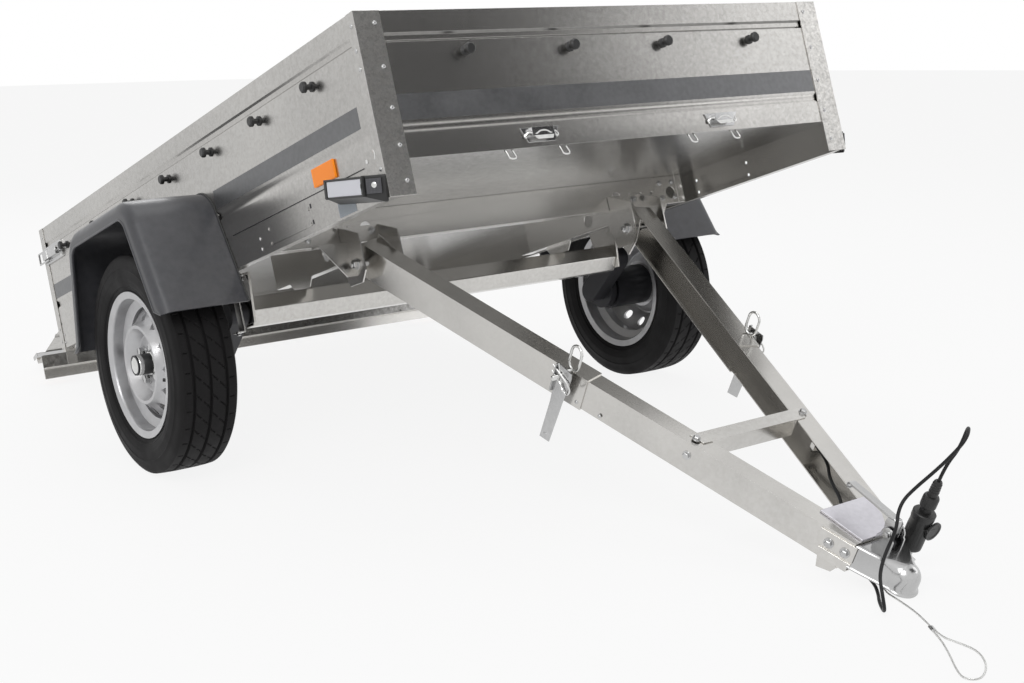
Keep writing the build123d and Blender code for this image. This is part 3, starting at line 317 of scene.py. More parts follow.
def make_finishes(f):
    """All materials, by the names that the pieces use."""
    # (name, shares of the dark tone, the light tone and the crystal's width,
    #  contrast, cloud, roughness, scale of the cloud)
    for name, dark, light, width, *look in (
            ("wall_zinc", 1.0, 1.0, 1.0, 0.20, 0.22, (0.20, 0.30), 1.6),
            # zinc darkened as painted shade, for the tub's underside and the faces turned down under it
            ("floor_zinc", 0.55, 0.50, 1.0, 0.10, 0.35, (0.20, 0.28), 1.2),
            # zinc lightened as painted highlight, for the frame under the tub
            ("frame_zinc", 1.30, 1.28, 0.8, 0.12, 0.25, (0.18, 0.28), 3.0),
            ("post_zinc", 0.70, 1.15, 0.7, 0.55, 0.20, (0.26, 0.36), 4.0),
            # zinc lightened as painted highlight, for the drawbar's arms
            ("arm_zinc", 1.30, 1.22, 0.6, 0.05, 0.22, (0.18, 0.25), 5.0)):
        galvanised(name, toned(f.zinc_dark, dark), toned(f.zinc_light, light), f.crystal * width, *look)
    plain_metal("plated_zinc", f.plated, (0.15, 0.26), 260.0, 0.04)
    plain_metal("bright_steel", (0.66, 0.66, 0.65), (0.08, 0.2), 500.0, 0.05)
    plain_metal("gusset_plate", (0.62, 0.61, 0.65), (0.30, 0.40), 300.0, 0.03)
    plain_metal("rim_silver", f.rim_paint, (0.28, 0.42), 900.0, 0.08, metallic=0.75, dust=0.25, coat=0.25)
    plain_metal("black_steel", toned(f.black, 1.6), (0.30, 0.5), 500.0, 0.12, metallic=0.2, dust=0.3)
    plain_metal("band_vinyl", f.band, (0.30, 0.38), 300.0, 0.03, metallic=0.7)
    moulded("tyre_rubber", f.rubber, (0.55, 0.75), 500.0, 0.18, dust=0.02, gloss=0.2)
    moulded("guard_plastic", f.guard, (0.30, 0.40), 1500.0, 0.10, dust=0.05, wear=0.6)
    moulded("black_plastic", f.black, (0.32, 0.48), 900.0, 0.12, gloss=0.3)
    moulded("cable_sheath", toned(f.black, 0.9), (0.42, 0.55), 700.0, 0.08, gloss=0.3)
    moulded("pale_vinyl", (0.38, 0.42, 0.46), (0.35, 0.45), 300.0, 0.03)
    # its glow is painted light on the side reflectors and lamp light in the tail lamps' amber fields
    lens("amber_lens", f.amber, 420.0, 0.2, 0.42)
    lens("red_lens", (0.50, 0.010, 0.008), 260.0, 0.4)
    lens("clear_lens", (0.62, 0.62, 0.74), 300.0, 0.12, 0.10)
    lens("corner_lens", (0.10, 0.10, 0.11), 200.0, 0.3)
    lens("white_lens", (0.80, 0.80, 0.80), 260.0, 0.4)


# ---- mesh tools -------------------------------------------------------------------------------

# distances in metres below which points merge, edges vanish and the frame's faces join
MERGE_GAP, SHORT_EDGE, WELD_GAP = 0.000004, 0.000002, 0.00004
EDGE_ANGLE = 34             # edges sharper than this are rounded, in degrees


def ring_faces(n, rows, closed=False, gap=0, first=0):
    """Faces between rows of n points. Rows are loops, or open lines where `gap` is 1."""
    spans = [(first + n * i, first + n * ((i + 1) % rows)) for i in range(rows if closed else rows - 1)]
    return [(a + k, a + (k + 1) % n, b + (k + 1) % n, b + k)
            for a, b in spans for k in range(n - gap)]


def even_shading(piece):
    """Shades flat faces flat beside rounded edges."""
    piece.modifiers.new("Even shading", "WEIGHTED_NORMAL").keep_sharp = False


def round_off(piece, width, segments=2):
    """Rounds a piece's edges and evens its shading."""
    edge = piece.modifiers.new("Rounded edges", "BEVEL")
    edge.width, edge.segments, edge.limit_method = width * MM, segments, "ANGLE"
    edge.angle_limit = radians(EDGE_ANGLE)
    edge.use_clamp_overlap = True
    even_shading(piece)


class Shape:
    """Collects closed forms in a frame's millimetres and makes one piece of them."""

    def __init__(self, at):
        self.at, self.verts, self.faces = at, [], []

    def add(self, verts, faces):
        """Adds vertices, and faces that count from the first of them."""
        base = len(self.verts)
        self.verts += [self.at @ Vector(v) for v in verts]
        self.faces += [[i + base for i in face] for face in faces]
        return self

    def lathe(self, spot, axis, profile, steps=24):
        """Turned form: (distance along the axis, radius) points; radius 0 closes an end."""
        axis = Vector(axis).normalized()
        u = Vector((1, 0, 0)) if abs(axis.x) < 0.9 else Vector((0, 1, 0))
        u = (u - axis * u.dot(axis)).normalized()
        w = axis.cross(u)
        verts, rings = [], []
        for along, r in profile:
            centre = Vector(spot) + axis * along
            count = steps if r else 1
            rings.append(range(len(verts), len(verts) + count))
            verts += [centre + (u * cos(a) + w * sin(a)) * r
                      for a in (2 * pi * k / steps for k in range(count))]
        faces = []
        for a, b in zip(rings, rings[1:]):
            for k in range(steps if len(a) + len(b) > 2 else 0):
                m = (k + 1) % steps
                if len(a) == 1:
                    faces.append((a[0], b[k], b[m]))
                elif len(b) == 1:
                    faces.append((a[k], a[m], b[0]))
                else:
                    faces.append((a[k], a[m], b[m], b[k]))
        return self.add(verts, faces)

    def rod(self, spot, axis, low, high, r, steps=20):
        """Plain round rod between two distances along an axis."""
        return self.lathe(spot, axis, [(low, 0), (low, r), (high, r), (high, 0)], steps)

    def loft(self, rings):
        """Closed form through rings of equally many points."""
        n, verts = len(rings[0]), [p for ring in rings for p in ring]
        ends = [tuple(range(n)), tuple(range(len(verts) - n, len(verts)))]
        return self.add(verts, ring_faces(n, len(rings)) + ends)

    def prism(self, outline, depth):
        """Flat outline of 3-D points pushed along a vector."""
        n = len(outline)
        verts = [Vector(p) for p in outline] + [Vector(p) + Vector(depth) for p in outline]
        faces = [tuple(range(n)), tuple(range(2 * n - 1, n - 1, -1))]
        faces += [(k, (k + 1) % n, (k + 1) % n + n, k + n) for k in range(n)]
        return self.add(verts, faces)

    def block(self, low, high):
        """Box between two corners."""
        (x0, y0, z0), (x1, y1, z1) = low, high
        return self.prism([(x0, y0, z0), (x1, y0, z0), (x1, y1, z0), (x0, y1, z0)], (0, 0, z1 - z0))

    def plate(self, xs, outline):
        """Flat plate between two x, with its outline in (y, z)."""
        low, high = sorted(xs)
        return self.prism([(low, y, z) for y, z in outline], (high - low, 0, 0))

    def film(self, side, ys, zs, thick):
        """Thin rectangle on the outside of a side wall."""
        (y0, y1), (z0, z1), x = ys, zs, side * WALL_X
        return self.prism([(x, y0, z0), (x, y1, z0), (x, y1, z1), (x, y0, z1)], (side * thick, 0, 0))

    def wire(self, points, r, sides=8, closed=False):
        """Round wire through points, already as fine as it should bend."""
        points = [Vector(p) for p in points]
        n = len(points)
        verts, u = [], None
        for k, p in enumerate(points):
            before = points[k - 1] if (k or closed) else p
            after = points[(k + 1) % n] if (k < n - 1 or closed) else p
            way = (after - before).normalized()
            u = (way.orthogonal() if u is None else u - way * u.dot(way)).normalized()
            w = way.cross(u)
            verts += [p + (u * c + w * s) * r for c, s in round_points(sides)]
        faces = ring_faces(sides, n, closed)
        if not closed:
            faces += [tuple(range(sides)), tuple(range((n - 1) * sides, n * sides))]
        return self.add(verts, faces)

    def make(self, name, material, body, bevel=0.0, segments=2, smooth=38, slot=None, stands_for=None):
        """Makes the piece with its finish, on its body or the stage, in place of a node if one is named."""
        mesh = bpy.data.meshes.new(name)
        mesh.from_pydata(self.verts, [], self.faces)
        work = bmesh.new()
        work.from_mesh(mesh)
        bmesh.ops.remove_doubles(work, verts=work.verts, dist=MERGE_GAP)
        bmesh.ops.dissolve_degenerate(work, edges=work.edges, dist=SHORT_EDGE)
        bmesh.ops.recalc_face_normals(work, faces=work.faces)
        work.to_mesh(mesh)
        work.free()
        mesh.shade_smooth()
        piece = bpy.data.objects.new(name, mesh)
        bpy.context.scene.collection.objects.link(piece)
        mesh.materials.append(bpy.data.materials[material])
        if bevel:
            round_off(piece, bevel, segments)
        else:
            mesh.set_sharp_from_angle(angle=radians(smooth))
        if body:
            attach(piece, body)
        if stands_for:
            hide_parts(stands_for)
        return piece


def arc(centre, r, start, end, steps=12):
    """Points of an arc in a plane that runs fore and aft, its angles in degrees from the rear upwards."""
    turns = [radians(start + (end - start) * k / steps) for k in range(steps + 1)]
    return [Vector(centre) + Vector((0, r, 0)) * cos(a) + Vector((0, 0, r)) * sin(a) for a in turns]


def bent(points, r, steps=5):
    """Line through points with its corners rounded by radius r, for wires and folded straps."""
    points = [Vector(p) for p in points]
    out = [points[0]]
    for a, b, c in zip(points, points[1:], points[2:]):
        back, on = (a - b), (c - b)
        reach = min(r, back.length * 0.45, on.length * 0.45)
        p, q = b + back.normalized() * reach, b + on.normalized() * reach
        for k in range(steps + 1):
            s = k / steps
            out.append(p * (1 - s) ** 2 + b * 2 * s * (1 - s) + q * s ** 2)
    out.append(points[-1])
    return out


def round_points(count):
    """Cosine and sine of equal steps round a circle."""
    return [(cos(a), sin(a)) for a in (2 * pi * k / count for k in range(count))]


def rivet(shape, spot, out, r, height=0.42):
    """Domed rivet head on a flat ring."""
    rise = r * height
    shape.lathe(spot, out, [(-0.2, 0), (-0.2, r * 1.25), (r * 0.12, r * 1.25), (r * 0.16, r)]
                + [(r * 0.16 + rise * sin(a), r * cos(a)) for a in (radians(d) for d in (25, 50, 72))]
                + [(r * 0.16 + rise, 0)], 16)


def hex_bolt(shape, spot, out, flats, height, washer, shank=0.0):
    """Hexagon head on a washer, with an optional shank end standing out of it."""
    r = flats / 2 / cos(pi / 6)
    wr = r * washer
    shape.lathe(spot, out, [(-0.2, 0), (-0.2, wr), (1.6, wr), (2.0, wr - 0.5), (2.0, 0)], 28)
    shape.lathe(spot, out, [(1.8, 0), (1.8, r), (height - 0.8, r), (height, r * 0.86), (height, 0)], 6)
    if shank:
        t = flats * 0.31
        shape.lathe(spot, out, [(height - 0.5, 0), (height - 0.5, t), (height + shank - 1, t),
                                (height + shank, t - 1), (height + shank, 0)], 16)


def arm_x(y):
    """Arm centreline from the centre plane, y ahead of the fold axis."""
    return ARM_REAR_X - (ARM_REAR_X - ARM_FRONT_X) * y / ARM_FRONT_Y


def on_arm(side, y, out, up):
    """Point on an arm: y ahead of the fold axis, out from its centreline, up from its middle."""
    return (side * (arm_x(y) + out * cos(ARM_SLANT)), -y - out * sin(ARM_SLANT), up)


def arm_out(side):
    """Outward direction of an arm's web."""
    return (side * cos(ARM_SLANT), -sin(ARM_SLANT), 0)


LENS_MM, SENSOR_MM = 52.24, 36.0
CAMERA_SPOT = (-2.202677, -3.213131, 1.134097)
CAMERA_AXES = ((0.8029, 0.1458, -0.5779), (-0.5958, 0.1708, -0.7848), (-0.0157, 0.9745, 0.2240))


class Builder:
    """Shared by the operators: all of them can be undone and touch only the scene."""

    bl_options = {"REGISTER", "UNDO"}


class TRAILER_OT_camera(Builder, bpy.types.Operator):
    """Sets the camera in front of the coupling, on the trailer's left"""

    bl_idname = "trailer.camera"
    bl_label = "Camera"

    def execute(self, context):
        data = bpy.data.cameras.new("Camera")
        data.lens, data.sensor_width = LENS_MM, SENSOR_MM
        camera = bpy.data.objects.new("Camera", data)
        camera.matrix_world = Matrix.Translation(CAMERA_SPOT) @ Matrix(CAMERA_AXES).to_4x4()
        context.scene.collection.objects.link(camera)
        context.scene.camera = camera
        return {"FINISHED"}


# ---- cords ------------------------------------------------------------------------------------

# control points of the cords, in metres
LIGHT_WAY = [
    (0.1451, -1.1306, 0.1823), (0.1314, -1.1732, 0.1649), (0.0840, -1.2182, 0.1497),
    (0.0680, -1.2677, 0.1175), (0.0440, -1.2983, 0.0812), (0.0220, -1.3307, 0.0496),
    (-0.0030, -1.3658, 0.0298), (-0.0180, -1.4312, 0.0090), (-0.0450, -1.4642, 0.0040),
    (-0.0760, -1.4922, 0.0038), (-0.1120, -1.5372, 0.0038), (-0.1210, -1.5342, 0.0500),
    (-0.0950, -1.5062, 0.0630), (-0.0700, -1.4899, 0.0795), (-0.0420, -1.4785, 0.0993),
    (-0.0340, -1.4832, 0.1211), (-0.0280, -1.4876, 0.1452), (-0.0160, -1.4789, 0.1661),
    (0.0020, -1.4759, 0.1879), (0.0200, -1.4889, 0.2117), (0.0350, -1.5152, 0.2442),
    (0.0440, -1.5411, 0.2757), (0.0485, -1.5795, 0.3250), (0.0975, -1.5470, 0.3385),
    (0.0980, -1.5278, 0.2855), (0.0860, -1.5072, 0.2485), (0.0860, -1.4928, 0.2133)]
ROPE_WAY = [
    (0.0140, -1.3769, 0.0253), (0.0130, -1.3987, 0.0152), (0.0000, -1.4262, 0.0045),
    (-0.0135, -1.4535, 0.0024), (-0.0260, -1.4715, 0.0023), (-0.0352, -1.5046, 0.0022),
    (-0.0518, -1.5532, 0.0022), (-0.0718, -1.5943, 0.0022), (-0.0860, -1.6192, 0.0022)]
EYE_WAY = [
    (-0.0958, -1.6391, 0.0022), (-0.1080, -1.6640, 0.0022), (-0.1072, -1.6860, 0.0022),
    (-0.1060, -1.7080, 0.0022), (-0.1072, -1.7345, 0.0022), (-0.1238, -1.7640, 0.0022),
    (-0.1560, -1.7935, 0.0022), (-0.1985, -1.8125, 0.0022), (-0.2190, -1.7930, 0.0022),
    (-0.1990, -1.7630, 0.0022), (-0.1560, -1.7150, 0.0022), (-0.1195, -1.6695, 0.0022),
    (-0.1002, -1.6363, 0.0022)]
# steel rope: distance between its sections and between its turns, in metres, and its strands
ROPE_STEP, ROPE_PITCH, ROPE_STRANDS = 0.0016, 0.024, 6


def route(name, points, fine):
    """Smooth open spline with the route's points as its control points."""
    curve = bpy.data.curves.new(name, "CURVE")
    curve.dimensions, curve.resolution_u, curve.use_fill_caps = "3D", fine, True
    spline = curve.splines.new("NURBS")
    spline.points.add(len(points) - 1)
    for point, place in zip(spline.points, points):
        point.co = (*place, 1.0)
    spline.order_u = 3
    spline.use_endpoint_u = True
    piece = bpy.data.objects.new(name, curve)
    bpy.context.scene.collection.objects.link(piece)
    return piece


def route_line(name, points):
    """Points of a route's smooth spline, evenly spaced, and its length."""
    guide = route(name + "_guide", points, 24)
    mesh = bpy.data.meshes.new_from_object(guide)
    line = [v.co.copy() for v in mesh.vertices]
    data = guide.data
    bpy.data.objects.remove(guide)
    bpy.data.curves.remove(data)
    bpy.data.meshes.remove(mesh)
    gaps = [(b - a).length for a, b in zip(line, line[1:])]
    total = sum(gaps)
    count = int(total / ROPE_STEP)
    out, k, gone = [], 0, 0.0
    for i in range(count + 1):
        want = total * i / count
        while k < len(gaps) - 1 and gone + gaps[k] < want:
            gone += gaps[k]
            k += 1
        share = min(1.0, (want - gone) / gaps[k])
        out.append(line[k].lerp(line[k + 1], share))
    return out, total


def stranded(name, points, diameter):
    """Laid steel rope: strands that wind round a core along the route; returns (shape, line)."""
    line, total = route_line(name, points)
    thin = diameter / 6.2
    shape = Shape(METRES)
    frames, u = [], None
    for k, p in enumerate(line):
        way = (line[min(k + 1, len(line) - 1)] - line[max(k - 1, 0)]).normalized()
        u = (Vector((0, 0, 1)).cross(way) if u is None else u - way * u.dot(way)).normalized()
        frames.append((p, u, way.cross(u)))
    far = diameter / 2 - thin
    for s in range(ROPE_STRANDS):
        winding = []
        for k, (p, a, b) in enumerate(frames):
            turn = 2 * pi * (s / ROPE_STRANDS + total * k / len(line) / ROPE_PITCH)
            winding.append(p + (a * cos(turn) + b * sin(turn)) * far)
        shape.wire(winding, thin, 6)
    shape.wire(line[::2] + [line[-1]], far * 0.8, 6)
    return shape, line


class TRAILER_OT_light_cable(Builder, bpy.types.Operator):
    """Lays the lighting cable from the right arm over the ground to the plug"""

    bl_idname = "trailer.light_cable"
    bl_label = "Lighting cable"

    def execute(self, context):
        sizes = context.scene.trailer_sizes
        cable = route("lighting_cable", LIGHT_WAY, 16)
        cable.data.bevel_depth, cable.data.bevel_resolution = sizes.cable_d / 2, 5
        cable.data.materials.append(bpy.data.materials["cable_sheath"])
        plug = build_plug()
        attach(cable, "drawbar")
        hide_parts("light_cable")
        return {"FINISHED"}


class TRAILER_OT_safety_cable(Builder, bpy.types.Operator):
    """Lays the steel safety cable and its loop on the ground"""

    bl_idname = "trailer.safety_cable"
    bl_label = "Safety cable"

    def execute(self, context):
        sizes = context.scene.trailer_sizes
        ferrule = build_ferrule()
        for name, way, node, length, end, pieces in (
                ("safety_rope", ROPE_WAY, "safety_cable", 0.268, "fitting", [ferrule]),
                ("safety_eye", EYE_WAY, "safety_loop", 0.437, "object", [])):
            shape, line = stranded(name, way, sizes.rope_d)
            rope = shape.make(name, "bright_steel", "drawbar", smooth=80, slot="steel_rope",
                              stands_for=node)
        return {"FINISHED"}


FERRULE_HALF_W, FERRULE_HALF_H = 0.0054, 0.00215
# (share of the ferrule's length, swelling); the dips are its two crimps
FERRULE_FORM = ((0, 0.72), (0.06, 0.95), (0.2, 1.0), (0.3, 0.9), (0.4, 1.0), (0.6, 1.0), (0.7, 0.9),
                (0.8, 1.0), (0.94, 0.95), (1.0, 0.72))


def build_ferrule():
    """Pressed ferrule between the safety cable and its loop."""
    start, end = Vector(ROPE_WAY[-1]), (Vector(EYE_WAY[0]) + Vector(EYE_WAY[-1])) / 2
    way = (end - start).normalized()
    side = Vector((-way.y, way.x, 0))
    reach = (end - start).length
    rings = []
    for share, swell in FERRULE_FORM:
        middle, rise = start + way * reach * share, FERRULE_HALF_H * min(1.0, swell + 0.04)
        rings.append([middle + side * FERRULE_HALF_W * swell * c + Vector((0, 0, rise * s))
                      for c, s in round_points(20)])
    return Shape(METRES).loft(rings).make("rope_ferrule", "plated_zinc", "drawbar", slot="zinc",
                                          stands_for="cable_ferrule")


PLUG_X, PLUG_Y, PLUG_R = 86.0, -1270.0, 20.0
PLUG_FOOT, PLUG_LOW, PLUG_TOP, NECK_TOP = -28.0, 2.0, 90.0, 166.0


def plug_ridges(shape, count, section, low, rise, gap=0.0):
    """Upright ridges round the plug, each from (distance out, offset sideways); none by the lid's hinge."""
    for k, (c, s) in enumerate(round_points(count)):
        if abs(2 * pi * k / count - 3 * pi / 2) >= gap:
            ring = [(PLUG_X + r * c - t * s, PLUG_Y + r * s + t * c, low) for r, t in section]
            shape.prism(ring, (0, 0, rise))


def build_plug():
    """Seven-pole plug on its stub: ribbed body, cap ring, gland nut, neck and lid."""
    at, up, low, top = (PLUG_X, PLUG_Y, 0), (0, 0, 1), PLUG_LOW, PLUG_TOP
    body = Shape(BAR)
    body.lathe(at, up, [(low, 0), (low, 21), (low + 2, 22.6), (low + 9, 23), (low + 10, 22.4),
                        (top - 18, 22.6), (top - 16, 23.4), (top - 14, 23.8), (top - 2, 23.8),
                        (top, 22), (top + 1, 14), (top + 1, 0)], 56)
    plug_ridges(body, 22, ((21.9, 0.9), (22.9, 0.6), (22.9, -0.6), (21.9, -0.9)), low + 12, 44, 0.4)
    neck = Shape(BAR)
    neck.lathe(at, up, [(top, 0), (top, 12), (top + 10, 12), (top + 12, 14.5), (top + 14, 16.2),
                        (top + 36, 16.2), (top + 39, 14.6), (top + 40, 10.5), (NECK_TOP - 30, 10.2),
                        (NECK_TOP - 3, 8.6), (NECK_TOP - 0.5, 7), (NECK_TOP - 0.5, 0)], 40)
    plug_ridges(neck, 18, ((15.8, 1.1), (16.5, 0.0), (15.8, -1.1)), top + 15, 20)
    for k in range(4):
        z, r = NECK_TOP + 6 * k, 10.7 - k * 0.3
        neck.lathe(at, up, [(z - 28, 9.4), (z - 27.4, r), (z - 25, r), (z - 24.4, 9.2)], 32)
    lid = Shape(BAR)
    centre = (PLUG_X + 12, PLUG_Y - PLUG_R - 9, top - 34)
    lid.lathe(centre, (0, -1, 0), [(-6, 0), (-6, 17), (-5, 20.6), (-1, 20.9), (0, 20), (0, 16.4),
                                   (-1.2, 15.4), (-1.2, 0)], 44)
    lid.rod((PLUG_X - 12, centre[1] + 4, centre[2] + 6), (1, 0, 0), 0, 24, 3.4)
    lid.block((PLUG_X - 6, PLUG_Y - PLUG_R - 5, top - 42), (PLUG_X + 6, PLUG_Y - PLUG_R + 1, top - 26))
    stub = Shape(BAR)
    stub.lathe(at, up, [(PLUG_FOOT, 0), (PLUG_FOOT, 15), (PLUG_FOOT + 3, 15), (PLUG_FOOT + 4, 11),
                        (low + 1, 11), (low + 1, 0)], 32)
    finish = {"material": "black_plastic", "body": "drawbar", "slot": "black_plastic"}
    pieces = [body.make("plug_body", **finish, stands_for="plug"), neck.make("plug_neck", **finish)]
    stub.make("plug_stub", "plated_zinc", "drawbar", slot="zinc")
    return [*pieces, lid.make("plug_lid", **finish, stands_for="plug_flap")]


# ---- finishes on the CAD frame ----------------------------------------------------------------

# (finish, edge radius in mm, nodes)
DRESS = (
    ("wall_zinc", 0.6, "side_wall_left side_wall_right front_wall tailgate"),
    # the floor's underside takes the zinc darkened as painted shade
    ("floor_zinc", 0, "floor"),
    ("post_zinc", 0.9, "corner_posts"),
    # the frame takes zinc lightened as painted highlight
    ("frame_zinc", 0.8, "crossmember rear_crossmember frame_rails mudguard_stays"),
    ("frame_zinc", 1.0, "axle_brackets fold_brackets arm_end_plates lamp_bar"),
    ("frame_zinc", 3.0, "axle_beam"),
    # the drawbar's parts take zinc lightened as painted highlight
    ("arm_zinc", 0.8, "head_foot"),
    ("arm_zinc", 0.9, "drawbar_crosspiece"),
    ("arm_zinc", 1.2, "drawbar_arm_left drawbar_arm_right"),
    ("gusset_plate", 1.2, "drawbar_gusset"),
    ("plated_zinc", 0, "cable_ferrule"),
    ("plated_zinc", 0.7, "tailgate_hinges"),
    ("plated_zinc", 0.8, "fold_bolts plug_holder gate_catches"),
    ("plated_zinc", 0.9, "locking_straps front_catches"),
    ("plated_zinc", 1.0, "gate_latches"),
    ("plated_zinc", 1.4, "coupling_handle"),
    ("plated_zinc", 2.2, "coupling_head"),
    ("bright_steel", 0, "safety_cable safety_loop"),
    ("bright_steel", 1.4, "locking_pins"),
    ("rim_silver", 1.2, "rim_left rim_right"),
    ("black_steel", 1.2, "hub_left hub_right"),
    ("black_steel", 2.0, "torsion_arms"),
    ("guard_plastic", 1.5, "mudguard_left mudguard_right"),
    ("black_plastic", 0, "plug plug_flap"),
    ("black_plastic", 0.8, "gate_knobs tarp_knobs"),
    ("black_plastic", 3.0, "marker_lamps"),
    ("clear_lens", 0.6, "marker_lenses"),
    ("amber_lens", 1.0, "side_reflectors"),
    ("red_lens", 3.0, "tail_lamps"),
    ("cable_sheath", 0, "light_cable"),
    ("tyre_rubber", 0, "tyre_left tyre_right"),
)
# node: (second finish, which outward directions take it)
SECOND_FINISH = {
    "corner_posts": ("wall_zinc", lambda out: abs(out.x) > 0.7),        # side flanges, as plain as the walls
    "front_wall": ("floor_zinc", lambda out: out.z < -0.3),             # lower fold, its downward faces darkened as painted shade like the floor
}


def dress(node, finish, edge):
    """Puts a finish on one of the frame's solids and rounds its edges."""
    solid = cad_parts[node]
    mesh = solid.data
    mesh.materials.clear()
    mesh.materials.append(bpy.data.materials[finish])
    normals = mesh.attributes.get("custom_normal")
    if normals:
        mesh.attributes.remove(normals)
    mesh.polygons.foreach_set("use_smooth", [True] * len(mesh.polygons))
    if node in SECOND_FINISH:
        second, takes = SECOND_FINISH[node]
        mesh.materials.append(bpy.data.materials[second])
        turn = solid.matrix_world.to_3x3()
        for face in mesh.polygons:
            face.material_index = int(takes((turn @ face.normal).normalized()))
    solid.modifiers.new("Joined faces", "WELD").merge_threshold = WELD_GAP
    if edge:
        round_off(solid, edge)
    else:
        even_shading(solid)


class TRAILER_OT_finishes(Builder, bpy.types.Operator):
    """Makes the finishes and puts them on the frame's solids, with rounded edges"""

    bl_idname = "trailer.finishes"
    bl_label = "Finishes"

    def execute(self, context):
        for group in GROUPS:
            effect_group(*group)
        make_finishes(context.scene.trailer_finishes)
        for finish, edge, nodes in DRESS:
            for node in nodes.split():
                dress(node, finish, edge)
        return {"FINISHED"}


# ---- wheels -----------------------------------------------------------------------------------

GROOVES, GROOVE_HALF, GROOVE_SLOPE = (-42.0, 0.0, 42.0), 4.0, 1.5
RIB_EDGE, RIB_BRIDGE = 38.0, (18.0, 23.0)   # outer edge of the middle ribs; where their cuts are bridged
RIB_SLANT, SHOULDER = 0.75, (49.0, 61.0)    # slant of these cuts, in blocks; where the shoulder cuts lie
# cuts: (half width in blocks, share of the depth, shift in blocks on the right and on the left)
RIB_CUT, SHOULDER_CUT = (0.026, 0.5, 0.35, 0.0), (0.03, 0.45, 0.25, 0.7)
CROWN_HALF, CROWN_POINTS, BLOCK_STEPS = 66, 88, 19


def cross_cut(kind, place, right):
    """Share of the depth that a kind of cut takes away at a place round the tyre."""
    half, share, *shifts = kind
    return share if abs((place + shifts[0 if right else 1]) % 1.0 - 0.5) < half else 0.0


def tread_cut(x, pitch, depth):
    """How far the tread is cut at x across it and `pitch` blocks round it."""
    far, right = abs(x), x > 0
    cuts = [min(1.0, max(0.0, (GROOVE_HALF - abs(x - groove)) / GROOVE_SLOPE)) for groove in GROOVES]
    if GROOVE_HALF < far < RIB_EDGE and not RIB_BRIDGE[0] < far < RIB_BRIDGE[1]:
        slant = RIB_SLANT * (far - GROOVE_HALF) / (RIB_EDGE - GROOVE_HALF) * (1 if right else -1)
        cuts.append(cross_cut(RIB_CUT, pitch + slant, right))
    if SHOULDER[0] < far < SHOULDER[1]:
        cuts.append(cross_cut(SHOULDER_CUT, pitch, right))
    return depth * max(cuts)


# half of the tyre's section, (out from its middle, radius): sidewall down to the bead, then the inside
SIDEWALL = [(68.5, TYRE_R - 5.5), (71.5, TYRE_R - 9.5), (73.6, TYRE_R - 15), (75, TYRE_R - 22),
            (76.8, TYRE_R - 32), (77.6, TYRE_R - 33.2), (77.8, TYRE_R - 36), (76.9, TYRE_R - 37.2),
            (77.9, RIM_R + 38), (78.2, RIM_R + 33), (77.6, RIM_R + 31.6), (77.2, RIM_R + 28),
            (75.6, RIM_R + 19), (74.2, RIM_R + 15.6), (74.6, RIM_R + 14.2), (72.2, RIM_R + 11.2),
            (70.4, RIM_R + 10.6), (68.0, RIM_R + 5.0), (64.6, RIM_R + 1.2), (61.6, 170.0), (58, 165.4)]
INSIDE = [(47, 165.4), (51, RIM_R + 6), (67, RIM_R + 34), (64, TYRE_R - 36), (50, TYRE_R - 16)]


def build_tyre(side, word, settings):
    """Tyre with three round grooves, slanted cuts between them and short cuts on the shoulders."""
    depth, steps = settings.groove / MM, settings.blocks * BLOCK_STEPS
    across = [-CROWN_HALF + 2 * CROWN_HALF * k / CROWN_POINTS for k in range(CROWN_POINTS + 1)]
    crown = [(x, TYRE_R - 0.6 - 2.2 * (abs(x) / CROWN_HALF) ** 3) for x in across]
    rest = SIDEWALL + INSIDE + [(-x, r) for x, r in INSIDE[::-1]] + [(-x, r) for x, r in SIDEWALL[::-1]]
    middle = Vector((side * TYRE_X, HUB_Y, HUB_Z))
    verts = []
    for k, (c, s) in enumerate(round_points(steps)):
        cut = [(x, r - tread_cut(x, k / BLOCK_STEPS, depth)) for x, r in crown]
        verts += [middle + Vector((side * x, r * c, r * s)) for x, r in cut + rest]
    faces = ring_faces(len(crown) + len(rest), steps, closed=True)
    Shape(BED).add(verts, faces).make(f"road_tyre_{word}", "tyre_rubber", f"wheel_{word}", smooth=32,
                                      slot="tyre", stands_for=f"tyre_{word}")


class TRAILER_OT_tyres(Builder, bpy.types.Operator):
    """Builds both tyres with their tread"""

    bl_idname = "trailer.tyres"
    bl_label = "Tyres"

    def execute(self, context):
        for side, word in SIDES:
            build_tyre(side, word, context.scene.trailer_sizes)
        return {"FINISHED"}


# bolt circle, valve and balance weights on the rim, in millimetres and degrees
BOLT_CIRCLE, VALVE_R, VALVE_TURN, WEIGHT_OUT, WEIGHT_R = 49, 141, 205, 64.5, 178


def on_wheel(side, out, r, degrees):
    """Point on a wheel: out from the tyre's middle, at a radius and an angle round the hub."""
    a = radians(degrees)
    return (side * (TYRE_X + out), HUB_Y + r * cos(a), HUB_Z + r * sin(a))


